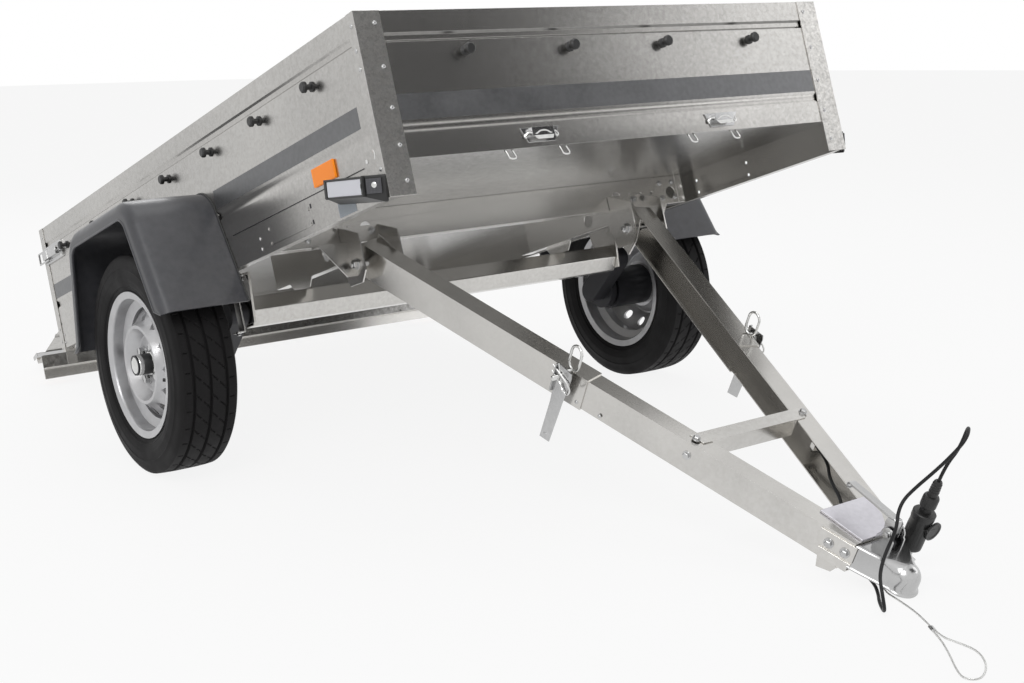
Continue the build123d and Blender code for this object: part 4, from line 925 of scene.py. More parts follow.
class TRAILER_OT_wheel_fittings(Builder, bpy.types.Operator):
    """Adds wheel bolts, hub caps, valves and balance weights"""

    bl_idname = "trailer.wheel_fittings"
    bl_label = "Wheel fittings"

    def execute(self, context):
        for side, word in SIDES:
            out, body = (side, 0, 0), f"wheel_{word}"
            bolts, cap, sleeve, valve, weights = (Shape(BED) for _ in range(5))
            for k in range(4):
                hex_bolt(bolts, on_wheel(side, 30.0, BOLT_CIRCLE, 45 + 90 * k), out, 19.0, 14.5, 1.28)
            hub = (side * (TYRE_X + 26.0), HUB_Y, HUB_Z)
            cap.lathe(hub, out, [(4, 29.5), (8, 29.5), (9.5, 28), (9.5, 25), (34, 24.6), (35, 26.2),
                                 (40, 26.2), (43.5, 25.2), (46.5, 22.8), (49, 19), (50.8, 14), (51.8, 8),
                                 (52.2, 0)], 48)
            sleeve.lathe(hub, out, [(10, 25.8), (31, 25.8), (32.2, 25.0), (32.2, 24.2), (10, 24.2),
                                    (10, 25.8)], 48)
            a = radians(VALVE_TURN)
            lean = (side * 0.86, -0.5 * cos(a), -0.5 * sin(a))
            valve.lathe(on_wheel(side, 34.0, VALVE_R, VALVE_TURN), lean,
                        [(-6, 0), (-6, 7), (0, 6.6), (6, 4.2), (16, 3.6), (17, 4.2), (26, 4.2), (27, 3.4),
                         (27, 0)], 20)
            for start in (62, 250):
                edge = [on_wheel(side, WEIGHT_OUT, WEIGHT_R, start + 2.4 * k) for k in range(7)]
                weights.wire(edge, 3.4, 10)
            bolts.make(f"wheel_bolts_{word}", "plated_zinc", body, slot="zinc")
            cap.make(f"hub_cap_{word}", "bright_steel", body, slot="rim")
            sleeve.make(f"hub_sleeve_{word}", "black_plastic", body, slot="black_steel")
            valve.make(f"tyre_valve_{word}", "black_plastic", body, slot="black_plastic")
            weights.make(f"balance_weights_{word}", "plated_zinc", body, slot="zinc")
        return {"FINISHED"}


# ---- mudguards --------------------------------------------------------------------------------

GUARD_TOP, GUARD_LOW, GUARD_TOP_HALF, GUARD_LOW_HALF = 210.0, -83.0, 213.0, 315.0
GUARD_OUT, GUARD_BEND, GUARD_SOFT, GUARD_FLANGE, GUARD_T = 215.0, 84.0, 27.0, 42.0, 3.6
GUARD_END, GUARD_END_FLANGE = 34, 12        # near its ends the flange narrows to this depth


def guard_path():
    """Side line of a mudguard, rounded at its two upper corners, with its inward directions."""
    ends = [(HUB_Y - GUARD_LOW_HALF, GUARD_LOW), (HUB_Y - GUARD_TOP_HALF, GUARD_TOP),
            (HUB_Y + GUARD_TOP_HALF, GUARD_TOP), (HUB_Y + GUARD_LOW_HALF, GUARD_LOW)]
    lines = []
    for (y0, z0), (y1, z1) in zip(ends, ends[1:]):
        way = Vector((y1 - y0, z1 - z0)).normalized()
        lines.append((Vector((y0, z0)), Vector((y1, z1)), way, Vector((way.y, -way.x))))
    points = []
    for k, (a, b, way, inward) in enumerate(lines):
        if k > 0:
            a = a + way * GUARD_BEND * tan(lines[k - 1][2].angle(way) / 2)
        if k < 2:
            b = b - way * GUARD_BEND * tan(way.angle(lines[k + 1][2]) / 2)
        points += [(a.lerp(b, i / 10), inward) for i in range(11)]
        if k < 2:
            centre = b + inward * GUARD_BEND
            for i in range(1, 12):
                turn = inward.lerp(lines[k + 1][3], i / 12).normalized()
                points.append((centre - turn * GUARD_BEND, turn))
    return points


def guard_section(from_end):
    """Section of a mudguard at a distance from its end, in (x, depth) points: skin, bead, lining."""
    outer, soft, thick, flange = HALF_W + GUARD_OUT, GUARD_SOFT, GUARD_T, GUARD_FLANGE
    if from_end <= GUARD_END:
        narrow = (1 - (1 - from_end / GUARD_END) ** 2) ** 0.5
        flange = GUARD_END_FLANGE + (GUARD_FLANGE - GUARD_END_FLANGE) * narrow

    def edge(r, degrees, gap):
        deepest = max(flange - gap, 8)
        return [(outer - soft + r * sin(a), min(soft - r * cos(a), deepest)) for a in map(radians, degrees)]

    skin = [(WALL_X, 0.0), (WALL_X + 24, -0.8), (WALL_X + 70, -1.2), (WALL_X + 120, -1.0),
            (outer - soft - 26, -0.6), (outer - soft, 0.0), *edge(soft, (12, 24, 36, 48, 60, 72, 82, 90), 4)]
    bead = [(outer, flange - 3.5), (outer + 1.6, flange - 2.4), (outer + 2.2, flange),
            (outer + 1.4, flange + 2.2), (outer - 1.5, flange + 3.0), (outer - thick - 0.8, flange + 1.6),
            (outer - thick, flange - 2)]
    lining = [*edge(soft - thick, (90, 70, 50, 30, 12), 3), (outer - soft - 26, thick - 0.6),
              (WALL_X + 100, thick - 1.0), (WALL_X, thick)]
    return skin, bead, lining


class TRAILER_OT_mudguards(Builder, bpy.types.Operator):
    """Moulds the mudguards: rounded roof, soft outer edge, side flange and its bead"""

    bl_idname = "trailer.mudguards"
    bl_label = "Mudguards"

    def execute(self, context):
        path = guard_path()
        start, end = path[0][0], path[-1][0]
        for side, word in SIDES:
            rings = []
            for spot, inward in path:
                skin, bead, lining = guard_section(min((spot - start).length, (spot - end).length))
                rings.append([(side * x, *(spot + inward * d)) for x, d in skin + bead + lining])
            n, half = len(rings[0]), len(skin) + len(bead) // 2
            faces = ring_faces(n, len(rings))
            for base in (0, n * (len(rings) - 1)):
                # end faces as a strip between skin and lining
                a, b = base, base + n - 1
                while b - a > 1:
                    if a - base < half and (b - a) % 2 == 0:
                        faces.append((a, a + 1, b))
                        a += 1
                    else:
                        faces.append((a, b - 1, b))
                        b -= 1
            guard = Shape(BED).add([p for ring in rings for p in ring], faces)
            guard.make(f"moulded_guard_{word}", "guard_plastic", "bed", smooth=50, slot="guard",
                       stands_for=f"mudguard_{word}")
            seam = [(side * (WALL_X + 1.2), *(spot - inward * 1.4)) for spot, inward in path]
            Shape(BED).wire(seam, 2.4).make(f"guard_seam_{word}", "black_plastic", "bed",
                                            slot="black_plastic")
        return {"FINISHED"}


# ---- tub --------------------------------------------------------------------------------------


class TRAILER_OT_tub_rivets(Builder, bpy.types.Operator):
    """Sets the tub's rivets, the dark strips painted as shade in the wall creases with small dark marks, the
    wall clips, and the bolts of the mudguards
    """

    bl_idname = "trailer.tub_rivets"
    bl_label = "Tub rivets"

    def execute(self, context):
        r = context.scene.trailer_sizes.rivet_r / MM
        heads, crease_shade_and_marks, clips, bolts = (Shape(BED) for _ in range(4))
        for side, _ in SIDES:
            w, out = side * WALL_X, (side, 0, 0)
            for z in (30, 102, 178, 262, 352):
                rivet(heads, (side * (HALF_W - 46), 0, z), (0, -1, 0), r)
                rivet(heads, (side * (HALF_W - 28), TUB_L, z), (0, 1, 0), r)
            for z in (22, 60, 262, 300, 350):
                rivet(heads, (side * HALF_W, 15, z), out, r)
                if z not in (262, 300):
                    rivet(heads, (side * HALF_W, TUB_L - 15, z), out, r)
            for y in (595, 2024):
                for z in (16, 40):
                    rivet(heads, (w, y, z), out, r)
            # dark strip painted as the shade in the wall's crease; below it, small dark squares
            crease_shade_and_marks.film(side, (81, HUB_Y - 300), (76, 77.8), 0.3)
            for z in (22, 57):
                crease_shade_and_marks.film(side, (327, 333), (z - 5, z + 5), 0.4)
            clips.block((w - 1, 60, 83), (w + 1 + side * 1.5, 68, 91))
            spring = [(w + side * 2, 29, 102), (w + side * 3, 24, 93), (w + side * 2, 30, 84)]
            clips.wire(bent(spring, 4), 1.6)
            for dy, z in ((-236, 60), (-110, 172), (110, 172), (236, 60)):
                rivet(bolts, (side * (WALL_X - 2.2), HUB_Y + dy, z), (-side, 0, 0), 6.5, 0.5)
            for z in (-20, 10):
                hex_bolt(bolts, (side * (WALL_X + 3), HUB_Y - 252, z), out, 13, 7, 1.25)
            hex_bolt(bolts, (side * (WALL_X + 13), HUB_Y - 252, -150), (0, 0, -1), 10, 6, 1.25)
        heads.make("tub_rivets", "plated_zinc", "bed", slot="zinc")
        crease_shade_and_marks.make("wall_crease_shade_and_marks", "black_steel", "bed", slot="black_steel")
        clips.make("wall_clips", "bright_steel", "bed", slot="zinc")
        bolts.make("guard_bolts", "plated_zinc", "bed", slot="zinc")
        return {"FINISHED"}


class TRAILER_OT_bands(Builder, bpy.types.Operator):
    """Puts the bare grey bands on the front and side walls"""

    bl_idname = "trailer.bands"
    bl_label = "Bands"

    def execute(self, context):
        bands, x = Shape(BED), HALF_W - 64
        bands.prism([(-x, 2.5, 152), (x, 2.5, 152), (x, 2.5, 205), (-x, 2.5, 205)], (0, -0.35, 0))
        for side, _ in SIDES:
            for ys in ((62, 790), (TUB_L - 300, TUB_L - 34)):
                bands.film(side, ys, (154, 199), 0.35)
        bands.make("wall_bands", "band_vinyl", "bed", slot="galvanised")
        return {"FINISHED"}


class TRAILER_OT_tub_hooks(Builder, bpy.types.Operator):
    """Bends the small hooks under the front lip and the springs of the front catches"""

    bl_idname = "trailer.tub_hooks"
    bl_label = "Hooks and catch springs"

    def execute(self, context):
        hooks = Shape(BED)

        def bow(x, half, r, thick):
            """Wire that runs in along half a form, given as (distance from x, y, z), and back out."""
            line = [(x - dx, y, z) for dx, y, z in half] + [(x + dx, y, z) for dx, y, z in half[::-1]]
            hooks.wire(bent(line, r), thick)

        for x in (-354, -211, 165, 300):
            bow(x, ((9, 10, 78), (9, 4, 70), (9, -6, 52)), 7, 2.0)
        for x in (-266, 266):
            # sprung wire over the catch plate, its ends curled round the rivets
            bow(x, ((44, -1.5, 98), (36, -7, 105), (20, -10, 99), (8, -11, 106)), 5, 2.1)
            for dx in (-42, 42):
                rivet(hooks, (x + dx, -0.5, 98), (0, -1, 0), 4.5)
            lip = [(x - 26, -12, 96), (x + 26, -12, 96), (x + 20, -16, 88), (x - 20, -16, 88)]
            hooks.prism(lip, (0, 1.6, -0.6))
        hooks.make("tub_hooks", "bright_steel", "bed", slot="zinc")
        return {"FINISHED"}


class TRAILER_OT_chassis_fasteners(Builder, bpy.types.Operator):
    """Bolts the crossmember, the axle and the fold brackets"""

    bl_idname = "trailer.chassis_fasteners"
    bl_label = "Chassis bolts"

    def execute(self, context):
        bolts, ends = Shape(BED), Shape(BAR)
        for side, _ in SIDES:
            for x in (HALF_W - 66, HALF_W - 112):
                for z in (20, 62):
                    hex_bolt(bolts, (side * x, 573.4, z), (0, -1, 0), 10, 5.5, 1.25)
            for dx in (-34, 34):
                hex_bolt(bolts, (side * ARM_REAR_X + dx, 572.0, 26), (0, -1, 0), 13, 7, 1.3, 4)
            for dy in (-44, 44):
                hex_bolt(bolts, (side * 600.0, 900.0 + dy, -4.0), (0, 0, -1), 13, 8, 1.3, 5)
            for out in (-1, 1):
                hex_bolt(ends, (side * ARM_REAR_X + out * 55.0, 0, 0), (out, 0, 0), 19, 11, 1.3, 5)
        bolts.make("chassis_bolts", "plated_zinc", "bed", slot="zinc")
        ends.make("fold_bolt_ends", "plated_zinc", "drawbar", slot="zinc")
        return {"FINISHED"}


# ---- drawbar ----------------------------------------------------------------------------------


class TRAILER_OT_drawbar_fasteners(Builder, bpy.types.Operator):
    """Bolts the crosspiece, the gusset and the coupling to the arms"""

    bl_idname = "trailer.drawbar_fasteners"
    bl_label = "Drawbar bolts"

    def execute(self, context):
        bolts = Shape(BAR)
        for side, _ in SIDES:
            for y in (1196, 1231):
                hex_bolt(bolts, on_arm(side, y, 27, 6), arm_out(side), 13, 7.5, 1.45)
            hex_bolt(bolts, on_arm(side, 868, 2, 38), (0, 0, 1), 13, 7.5, 1.3)
            hex_bolt(bolts, on_arm(side, 868, 24, 6), arm_out(side), 13, 7, 1.3)
            for y in (600, 660):
                rivet(bolts, on_arm(side, y, 27, -24), arm_out(side), 3.6)
        for side, _ in SIDES:
            hex_bolt(bolts, (side * 19, -1274, 62), (side, 0, 0), 13, 6, 1.25)
        bolts.make("drawbar_bolts", "plated_zinc", "drawbar", slot="zinc")
        return {"FINISHED"}


MOUTH, ROOF, NOSE_R, REAR_HALF, HEAD_REAR = -24.0, 30.0, 32.0, 66.0, 1.0 - ARM_FRONT_Y
HEAD_CORNER, HEAD_WALL = 9.0, 4.0
HANDLE_Y, HANDLE_Z = 59.0 - BAR_L, 62       # axis of the lift handle


def head_plan():
    """Plan line round the nose from rear left to rear right: (x, y, outward, share of the dome)."""
    lean = asin((REAR_HALF - NOSE_R) / hypot(REAR_HALF - NOSE_R, BAR_L - ARM_FRONT_Y))
    flank = []
    for k in range(13):
        s = k / 12
        ease = s * s * (3 - 2 * s)
        x = REAR_HALF + (NOSE_R - REAR_HALF) * (0.75 * s + 0.25 * ease)
        out = Vector((-cos(lean * (1 - ease)), -sin(lean * (1 - ease)) * 0.4))
        flank.append((-x, HEAD_REAR + (-BAR_L - HEAD_REAR) * s, out, max(0.0, (s - 0.45) / 0.55) ** 1.5))
    nose = [(-NOSE_R * cos(a), -BAR_L - NOSE_R * sin(a), Vector((-cos(a), -sin(a))), 1.0)
            for a in (pi * k / 30 for k in range(1, 30))]
    return flank + nose + [(-x, y, Vector((-o.x, o.y)), d) for x, y, o, d in flank[::-1]]


def head_skin(plan, inset, low, high):
    """Rings of one skin of the head: its low rings of (growth, z), then the rounded roof."""
    rings = [[(x + o.x * (grow - inset), y + o.y * (grow - inset), z) for x, y, o, _ in plan]
             for grow, z in low]
    for a in (radians(9 * k) for k in range(1, 11)):
        ring = []
        for x, y, o, dome in plan:
            r = HEAD_CORNER + (NOSE_R - inset - HEAD_CORNER) * dome
            back = inset + r * (1 - cos(a))
            ring.append((x - o.x * back, y - o.y * back, high + 2.0 * dome - r + r * sin(a)))
        rings.append(ring)
    return rings


def build_head():
    """Pressed sheet head, open below, with an outer and an inner skin."""
    plan = head_plan()
    brim = ((3.8, 0), (4.2, 1.6), (3.2, 3.2), (1.2, 4.4), (0.2, 7), (0.0, 14))
    outer = head_skin(plan, 0.0, [(grow, MOUTH + rise) for grow, rise in brim], ROOF)
    inner = head_skin(plan, HEAD_WALL, [(0.0, MOUTH), (0.0, MOUTH + 12)], ROOF - HEAD_WALL)
    n, rows, rows_in = len(plan), len(outer), len(inner)
    off = n * rows
    faces = ring_faces(n, rows, gap=1) + ring_faces(n, rows_in, gap=1, first=off)
    faces += [(k, k + 1, off + k + 1, off + k) for k in range(n - 1)]
    for k in range(n // 2):
        # roof, closed across from side to side
        for last in (off - n, off + n * (rows_in - 1)):
            far = last + n - 1 - k
            faces.append((last + k, last + k + 1, far - 1, far))
    left, right = ([n * i + edge for i in range(rows)] + [off + n * i + edge for i in range(rows_in)][::-1]
                   for edge in (0, n - 1))
    faces += [tuple(left), tuple(right), (left[rows - 1], right[rows - 1], right[rows], left[rows])]
    head = Shape(BAR).add([p for ring in outer + inner for p in ring], faces)
    head.make("pressed_head", "plated_zinc", "drawbar", smooth=55, slot="zinc",
              stands_for="coupling_head")


# the lever's line in (y, z), its cheeks' outline in (y, z) and the fold of its section
LEVER_LINE = ((-1279.5, 63), (-1279.5, 91), (-1272, 96), (-1150, 96), (-1142, 92.5), (-1140.5, 85),
              (-1145, 80), (-1151, 82))
LEVER_CHEEK = ((-1282, 55), (-1268, 52), (-1258, 60), (-1254, 80), (-1256, 90), (-1274, 94), (-1281, 88))
LEVER_HALF, LEVER_FOLD, LEVER_CURL_Y = 8.6, 6.5, -1156


def build_lever():
    """Lift handle: a folded strap that curls at its end, on two cheeks and a pin."""
    line = bent([(0, y, z) for y, z in LEVER_LINE], 6, 4)
    rings, half = [], LEVER_HALF
    for k, spot in enumerate(line):
        way = (line[min(k + 1, len(line) - 1)] - line[max(k - 1, 0)]).normalized()
        out = Vector((0, -way.z, way.y))
        fold = LEVER_FOLD - 4.6 * max(0.0, min(1.0, (spot.y - LEVER_CURL_Y) / 10))
        section = [(-half, -fold), (-half, -1.6), (-half + 1.5, 0), (half - 1.5, 0), (half, -1.6),
                   (half, -fold), (half - 1.8, -fold), (half - 1.8, -2.4), (half - 2.6, -1.8),
                   (-half + 2.6, -1.8), (-half + 1.8, -2.4), (-half + 1.8, -fold)]
        rings.append([(x, *(spot + out * d).yz) for x, d in section])
    lever = Shape(BAR).loft(rings)
    for side, _ in SIDES:
        lever.prism([(side * half, y, z) for y, z in LEVER_CHEEK], (side * 1.9, 0, 0))
    lever.rod((-19, HANDLE_Y, HANDLE_Z), (1, 0, 0), 0, 38, 4)
    lever.make("handle_lever", "plated_zinc", "coupling_handle", bevel=0.5, slot="zinc",
               stands_for="coupling_handle")


class TRAILER_OT_coupling(Builder, bpy.types.Operator):
    """Presses the coupling head with its domed nose, brim and the ears of the handle"""

    bl_idname = "trailer.coupling"
    bl_label = "Coupling head"

    def execute(self, context):
        build_head()
        ears, catch, wings = (Shape(BAR) for _ in range(3))
        y = HANDLE_Y
        round_top = [(y + 15.5 * cos(a), HANDLE_Z + 15.5 * sin(a))
                     for a in map(radians, range(190, -11, -20))]
        outline = [(y - 20, 29), (y - 19, 56), *round_top, (y + 21, 50), (y + 24, 29)]
        for side, _ in SIDES:
            ears.plate((side * 15.0, side * 19.0), outline)
            # wings of the head on the arms: (start on the arm, inner and outer face, bottom, top)
            for start, near, far, low, high in ((1172, 24, 27, -11, 29), (1180, 24, 31, -12.5, -10)):
                corners = ((start, near), (1250, near), (1250, far), (start, far))
                wings.prism([on_arm(side, along, out, low) for along, out in corners], (0, 0, high - low))
        ears.make("handle_ears", "plated_zinc", "drawbar", bevel=0.9, slot="zinc")
        build_lever()
        catch.plate((-7, 7), [(y - 12, 31), (y + 8, 31), (y + 8, 46), (y - 2, 52), (y - 12, 46)])
        catch.make("handle_catch", "black_steel", "drawbar", bevel=2.0, segments=3, slot="black_steel")
        # the wings take the arms' zinc, lightened as painted highlight
        wings.make("head_wings", "arm_zinc", "drawbar", bevel=0.8, slot="zinc")
        return {"FINISHED"}


LOCK_Y, LOCK_Z = -566.0, 20.0
LOCK_X = arm_x(-LOCK_Y) + (24 + 3 + 12 * sin(ARM_SLANT)) / cos(ARM_SLANT) + 0.3
# outlines of a strap's plate and of its folded edge, in (y, z) from the pin
STRAP = ((13, 26), (-32, 26), (-35, 16), (-33, -12), (-28, -44), (-19, -160), (13, -166), (10, -70),
         (13, -30))
STRAP_EDGE = ((13, 26), (13, -44), (16, -44), (16, 26))


class TRAILER_OT_locking_pins(Builder, bpy.types.Operator):
    """Builds the locking pins with their tall rings and the straps that hang from them"""

    bl_idname = "trailer.locking_pins"
    bl_label = "Locking pins"

    def execute(self, context):
        pins, straps = Shape(BAR), Shape(BAR)
        y, z = LOCK_Y, LOCK_Z
        for side, _ in SIDES:
            x, out = side * LOCK_X, (side, 0, 0)
            pins.lathe((x - side * 24, y, z), out,
                       [(0, 0), (0, 4.5), (2.5, 6), (55, 6), (56, 5), (56, 0)], 24)
            pins.lathe((x, y, z), out, [(0, 0), (0, 11.2), (1, 12), (7, 12), (8, 11), (8, 0)], 28)
            # tall ring through the pin's end
            ring_x = x - side * 12
            upper = arc((ring_x, y - 8, z + 60), 17.0, 0, 180)
            lower = arc((ring_x, y - 8, z + 36), 17.0, 180, 360)
            pins.wire(upper + lower, 3.2, 10, closed=True)
            tail = [(ring_x, y - 8, z + 19), (x + side * 4, y - 6, z + 17), (x + side * 12, y - 2, z + 4)]
            pins.wire(bent(tail, 8), 3.4, 10)
            plate_x = x + side * 8.4
            for outline, reach in ((STRAP, 2.6), (STRAP_EDGE, 9.0)):
                straps.plate((plate_x, plate_x + side * reach), [(y + dy, z + dz) for dy, dz in outline])
            straps.lathe((plate_x, y - 3, z - 152), out,
                         [(2.2, 0), (2.2, 6), (3.0, 6), (3.2, 4.6), (3.2, 0)], 20)
        pins.make("ring_pins", "bright_steel", "drawbar", smooth=50, slot="zinc",
                  stands_for="locking_pins")
        straps.make("pin_straps", "plated_zinc", "drawbar", bevel=0.8, slot="zinc",
                    stands_for="locking_straps")
        return {"FINISHED"}


class TRAILER_OT_pin_clips(Builder, bpy.types.Operator):
    """Bends the spring clips that keep the locking pins in the arms"""

    bl_idname = "trailer.pin_clips"
    bl_label = "Pin clips"

    def execute(self, context):
        clips = Shape(BAR)
        y, z = LOCK_Y, LOCK_Z
        for side, _ in SIDES:
            x = side * (LOCK_X + 15)
            clip = [(x, y + dy, z + dz) for dy, dz in ((26, 16), (-34, 2), (-46, -8), (-40, -22), (-22, -20),
                                                       (-8, -8), (6, -6), (24, 2))]
            clips.wire(bent(clip, 8), 2.1)
            clips.wire([(x - side * 4, y - 20, z - 26), (x - side * 4, y + 14, z + 26)], 2.0)
        clips.make("pin_clips", "bright_steel", "drawbar", slot="zinc")
        return {"FINISHED"}


# ---- lamps, latches ---------------------------------------------------------------------------

LAMP_SPOT, LAMP_TURN = (100.0, 38.0), 10.8  # middle and slant of the marker lamps on the side walls
LAMP_FOOT = ((-97, -24), (-97, 23), (-93, 27), (92, 27), (99, 20), (99, -16), (90, -26), (-94, -27))
LAMP_FACE = ((-60, -12), (-60, 25), (-57, 27), (88, 27), (94, 21), (94, -8), (88, -14), (-58, -14))
# frame that stands proud round the long lens, and the divider before the corner lens: (low, high)
LAMP_FRAME = (((31, -62, 23), (36, 93, 27)), ((31, -62, -14), (36, 90, -10.5)),
              ((31, -64, -14), (37, -57, 27)), ((31, 84, -12), (36, 93, 25)))


def lamp_frame(side):
    """Frame of a marker lamp: X out of the wall, Y along the lamp to the rear, Z up."""
    turn = Matrix.Rotation(radians(LAMP_TURN), 4, "X")
    return BED @ Matrix.Translation((side * HALF_W, *LAMP_SPOT)) @ turn @ Matrix.Diagonal((side, 1, 1, 1))


class TRAILER_OT_marker_lamps(Builder, bpy.types.Operator):
    """Builds the slanted marker lamps at the tub's front corners"""

    bl_idname = "trailer.marker_lamps"
    bl_label = "Marker lamps"

    def execute(self, context):
        front = [(y * 0.985, z) for y, z in LAMP_FACE]
        for side, word in SIDES:
            # the left lamp stands for the frame's node, which holds both sides
            lamps, lenses = ("marker_lamps", "marker_lenses") if side < 0 else (None, None)
            housing, long_lens, corner, bulb = (Shape(lamp_frame(side)) for _ in range(4))
            housing.loft([[(x, y, z) for y, z in ring] for x, ring in
                          ((-1, LAMP_FOOT), (4, LAMP_FOOT), (31, LAMP_FACE), (33, front))])
            for low, high in LAMP_FRAME:
                housing.block(low, high)
            housing.plate((37, 38.5), ((-62, 3), (-58, 3), (-58, 12), (-62, 12)))
            housing.make(f"marker_housing_{word}", "black_plastic", "bed", bevel=2.2, segments=3,
                         slot="black_plastic", stands_for=lamps)
            long_lens.block((30, -56, -10), (34.8, 83, 22.5))
            long_lens.make(f"marker_lens_{word}", "clear_lens", "bed", bevel=1.6, slot="clear_lens",
                           stands_for=lenses)
            slope = ((9.0, -92.0, -9), (28.5, -65.0, -9), (28.5, -65.0, 21), (9.0, -92.0, 21))
            corner.loft([[(x + d, y - d, z) for x, y, z in slope] for d in (-2.0, 2.4)])
            corner.make(f"marker_corner_{word}", "corner_lens", "bed", bevel=1.4, slot="clear_lens")
            bulb.lathe((18, -80, 8), (0.7, -0.7, 0), [(-1, 0), (-1, 6), (3.2, 6), (4.6, 4), (4.6, 0)], 20)
            bulb.make(f"marker_bulb_{word}", "bright_steel", "bed", slot="zinc")
        return {"FINISHED"}


def both_sides(shape, xs, low, high):
    """The same box on either side: between two distances from the middle and two (y, z) corners."""
    for side, _ in SIDES:
        a, b = sorted(side * x for x in xs)
        shape.block((a, *low), (b, *high))
    return shape


class TRAILER_OT_reflectors(Builder, bpy.types.Operator):
    """Sets the amber reflectors and the plain squares on the side walls"""

    bl_idname = "trailer.reflectors"
    bl_label = "Side reflectors"

    def execute(self, context):
        amber, plain = Shape(BED), Shape(BED)
        for side, _ in SIDES:
            low, high = sorted((side * WALL_X, side * (WALL_X + 5.5)))
            for y0, y1, z0 in ((191, 289, 87), (1740, 1838, 66)):
                amber.block((low, y0, z0), (high, y1, z0 + 40))
            plain.film(side, (140, 214), (4, 34), 0.4)
        # the amber finish glows here: painted light, since the reflectors are no lamps
        amber.make("amber_reflectors", "amber_lens", "bed", bevel=2.0, segments=3, slot="amber",
                   stands_for="side_reflectors")
        plain.make("plain_squares", "pale_vinyl", "bed", slot="galvanised")
        return {"FINISHED"}


class TRAILER_OT_tail_lamps(Builder, bpy.types.Operator):
    """Builds the rear lamps and the folded web of the bar that carries them"""

    bl_idname = "trailer.tail_lamps"
    bl_label = "Tail lamps"

    def execute(self, context):
        low, high, back = -80.0, -14.0, TUB_L - 4.0
        inner, outer = HALF_W - 128, HALF_W + 63
        housings = both_sides(Shape(BED), (inner, outer), (back, low), (back + 20, high))
        housings.make("lamp_housings", "black_plastic", "bed", bevel=4.0, segments=3, slot="black_plastic",
                      stands_for="tail_lamps")
        cuts = [inner + 5 + (outer - inner - 10) * share for share in (0.0, 0.36, 0.68, 1.0)]
        fields = (("white", "red_lens"), ("red", "red_lens"), ("amber", "amber"))
        for (word, slot), near, far in zip(fields, cuts, cuts[1:]):
            glass = both_sides(Shape(BED), (near + 0.4, far - 0.4), (back + 19, low + 5),
                               (back + 38, high - 5))
            glass.make(f"lamp_glass_{word}", f"{word}_lens", "bed", bevel=5.0, segments=3, slot=slot)
        web = Shape(BED)
        web.block((-734, back - 2.2, low - 3), (734, back - 0.4, high + 3))
        web.block((-734, back - 12, high + 1.2), (734, back - 0.4, high + 3))
        for x in (-700, -560, 560, 700):
            rivet(web, (x, back - 2.2, -46), (0, -1, 0), 4.5)
        # the web under the tub's rear takes the zinc darkened as painted shade
        web.make("lamp_bar_web", "floor_zinc", "bed", slot="galvanised")
        return {"FINISHED"}


class TRAILER_OT_gate_latches(Builder, bpy.types.Operator):
    """Dresses the tailgate latches with their bails and lever ends"""

    bl_idname = "trailer.gate_latches"
    bl_label = "Tailgate latches"

    def execute(self, context):
        bits = Shape(BED)
        for side, _ in SIDES:
            face = side * (HALF_W + 3)
            for y, z in ((1896, 270), (1896, 306), (2028, 288)):
                rivet(bits, (face, y, z), (side, 0, 0), 4.4)
            bits.wire([(face + side * 11, 1990, z) for z in (276, 300)], 3.2, 10)
            grip = [(face + side * out, y, 288) for out, y in ((12, 1908), (15, 1898), (17, 1880))]
            bits.wire(bent(grip, 6), 3.6, 10)
        bits.make("latch_fittings", "bright_steel", "bed", slot="zinc")
        return {"FINISHED"}


# ---- stage ------------------------------------------------------------------------------------

FLOOR_RINGS, FLOOR_TURNS = (2600.0, 5200.0, 10400.0, 20000.0), 48
PAPER, PAPER_SHARE = 0.82, 0.88             # tone of the floor; how far it shows as plain white
SKY = (-0.1, 0.9, 0.30, 0.62)               # from low to high: two heights, the strengths at these
# lights: (name, place, aim, size in metres, power in watts)
LIGHTS = (
    ("key_light", (-3.6, -3.4, 4.4), (0, 0, 0.4), (2.6, 2.6), 92),
    ("fill_light", (3.8, -3.2, 2.2), (0, -0.3, 0.4), (2.4, 2.4), 22),
    ("back_light", (1.2, 4.2, 3.2), (0, 0.4, 0.6), (3.0, 1.6), 46),
    ("top_light", (0, 0, 5.2), (0, 0, 0), (3.2, 3.2), 40),
)
# graded cloth that only shiny surfaces mirror: place, aim, size in millimetres and cells along a side
FLAG_SPOT, FLAG_AIM, FLAG_SIZE, FLAG_CELLS = (3300, -3600, 3000), (3300, -700, 3000), (5400, 2800), 8
# its tone from one end to the other: (share of the width, tone)
FLAG_TONES = ((0.0, 0.02), (0.18, 0.02), (0.34, 0.03), (0.50, 0.12), (0.62, 0.42), (1.0, 0.58))


def bare_tree(owner):
    """Tree helper on an owner's node tree, which it empties."""
    owner.use_nodes = True
    owner.node_tree.nodes.clear()
    return Tree(owner.node_tree)


def generated(t, axis):
    """Share of the way along an object's or the sky's axis."""
    place = t.add("ShaderNodeTexCoord").outputs["Generated"]
    return t.add("ShaderNodeSeparateXYZ", {0: place}).outputs[axis]


def plain_view(t, plain, strength, under):
    """Even colour for camera, mirror and glass rays, mixed over what lights the object."""
    rays = t.add("ShaderNodeLightPath").outputs
    either = t.math("MAXIMUM", rays["Is Camera Ray"], rays["Is Glossy Ray"])
    whole = t.math("MAXIMUM", either, rays["Is Transmission Ray"])
    share = t.math("MULTIPLY", whole, strength)
    return t.add("ShaderNodeMixShader", {0: share, 1: under, 2: plain}).outputs[0]


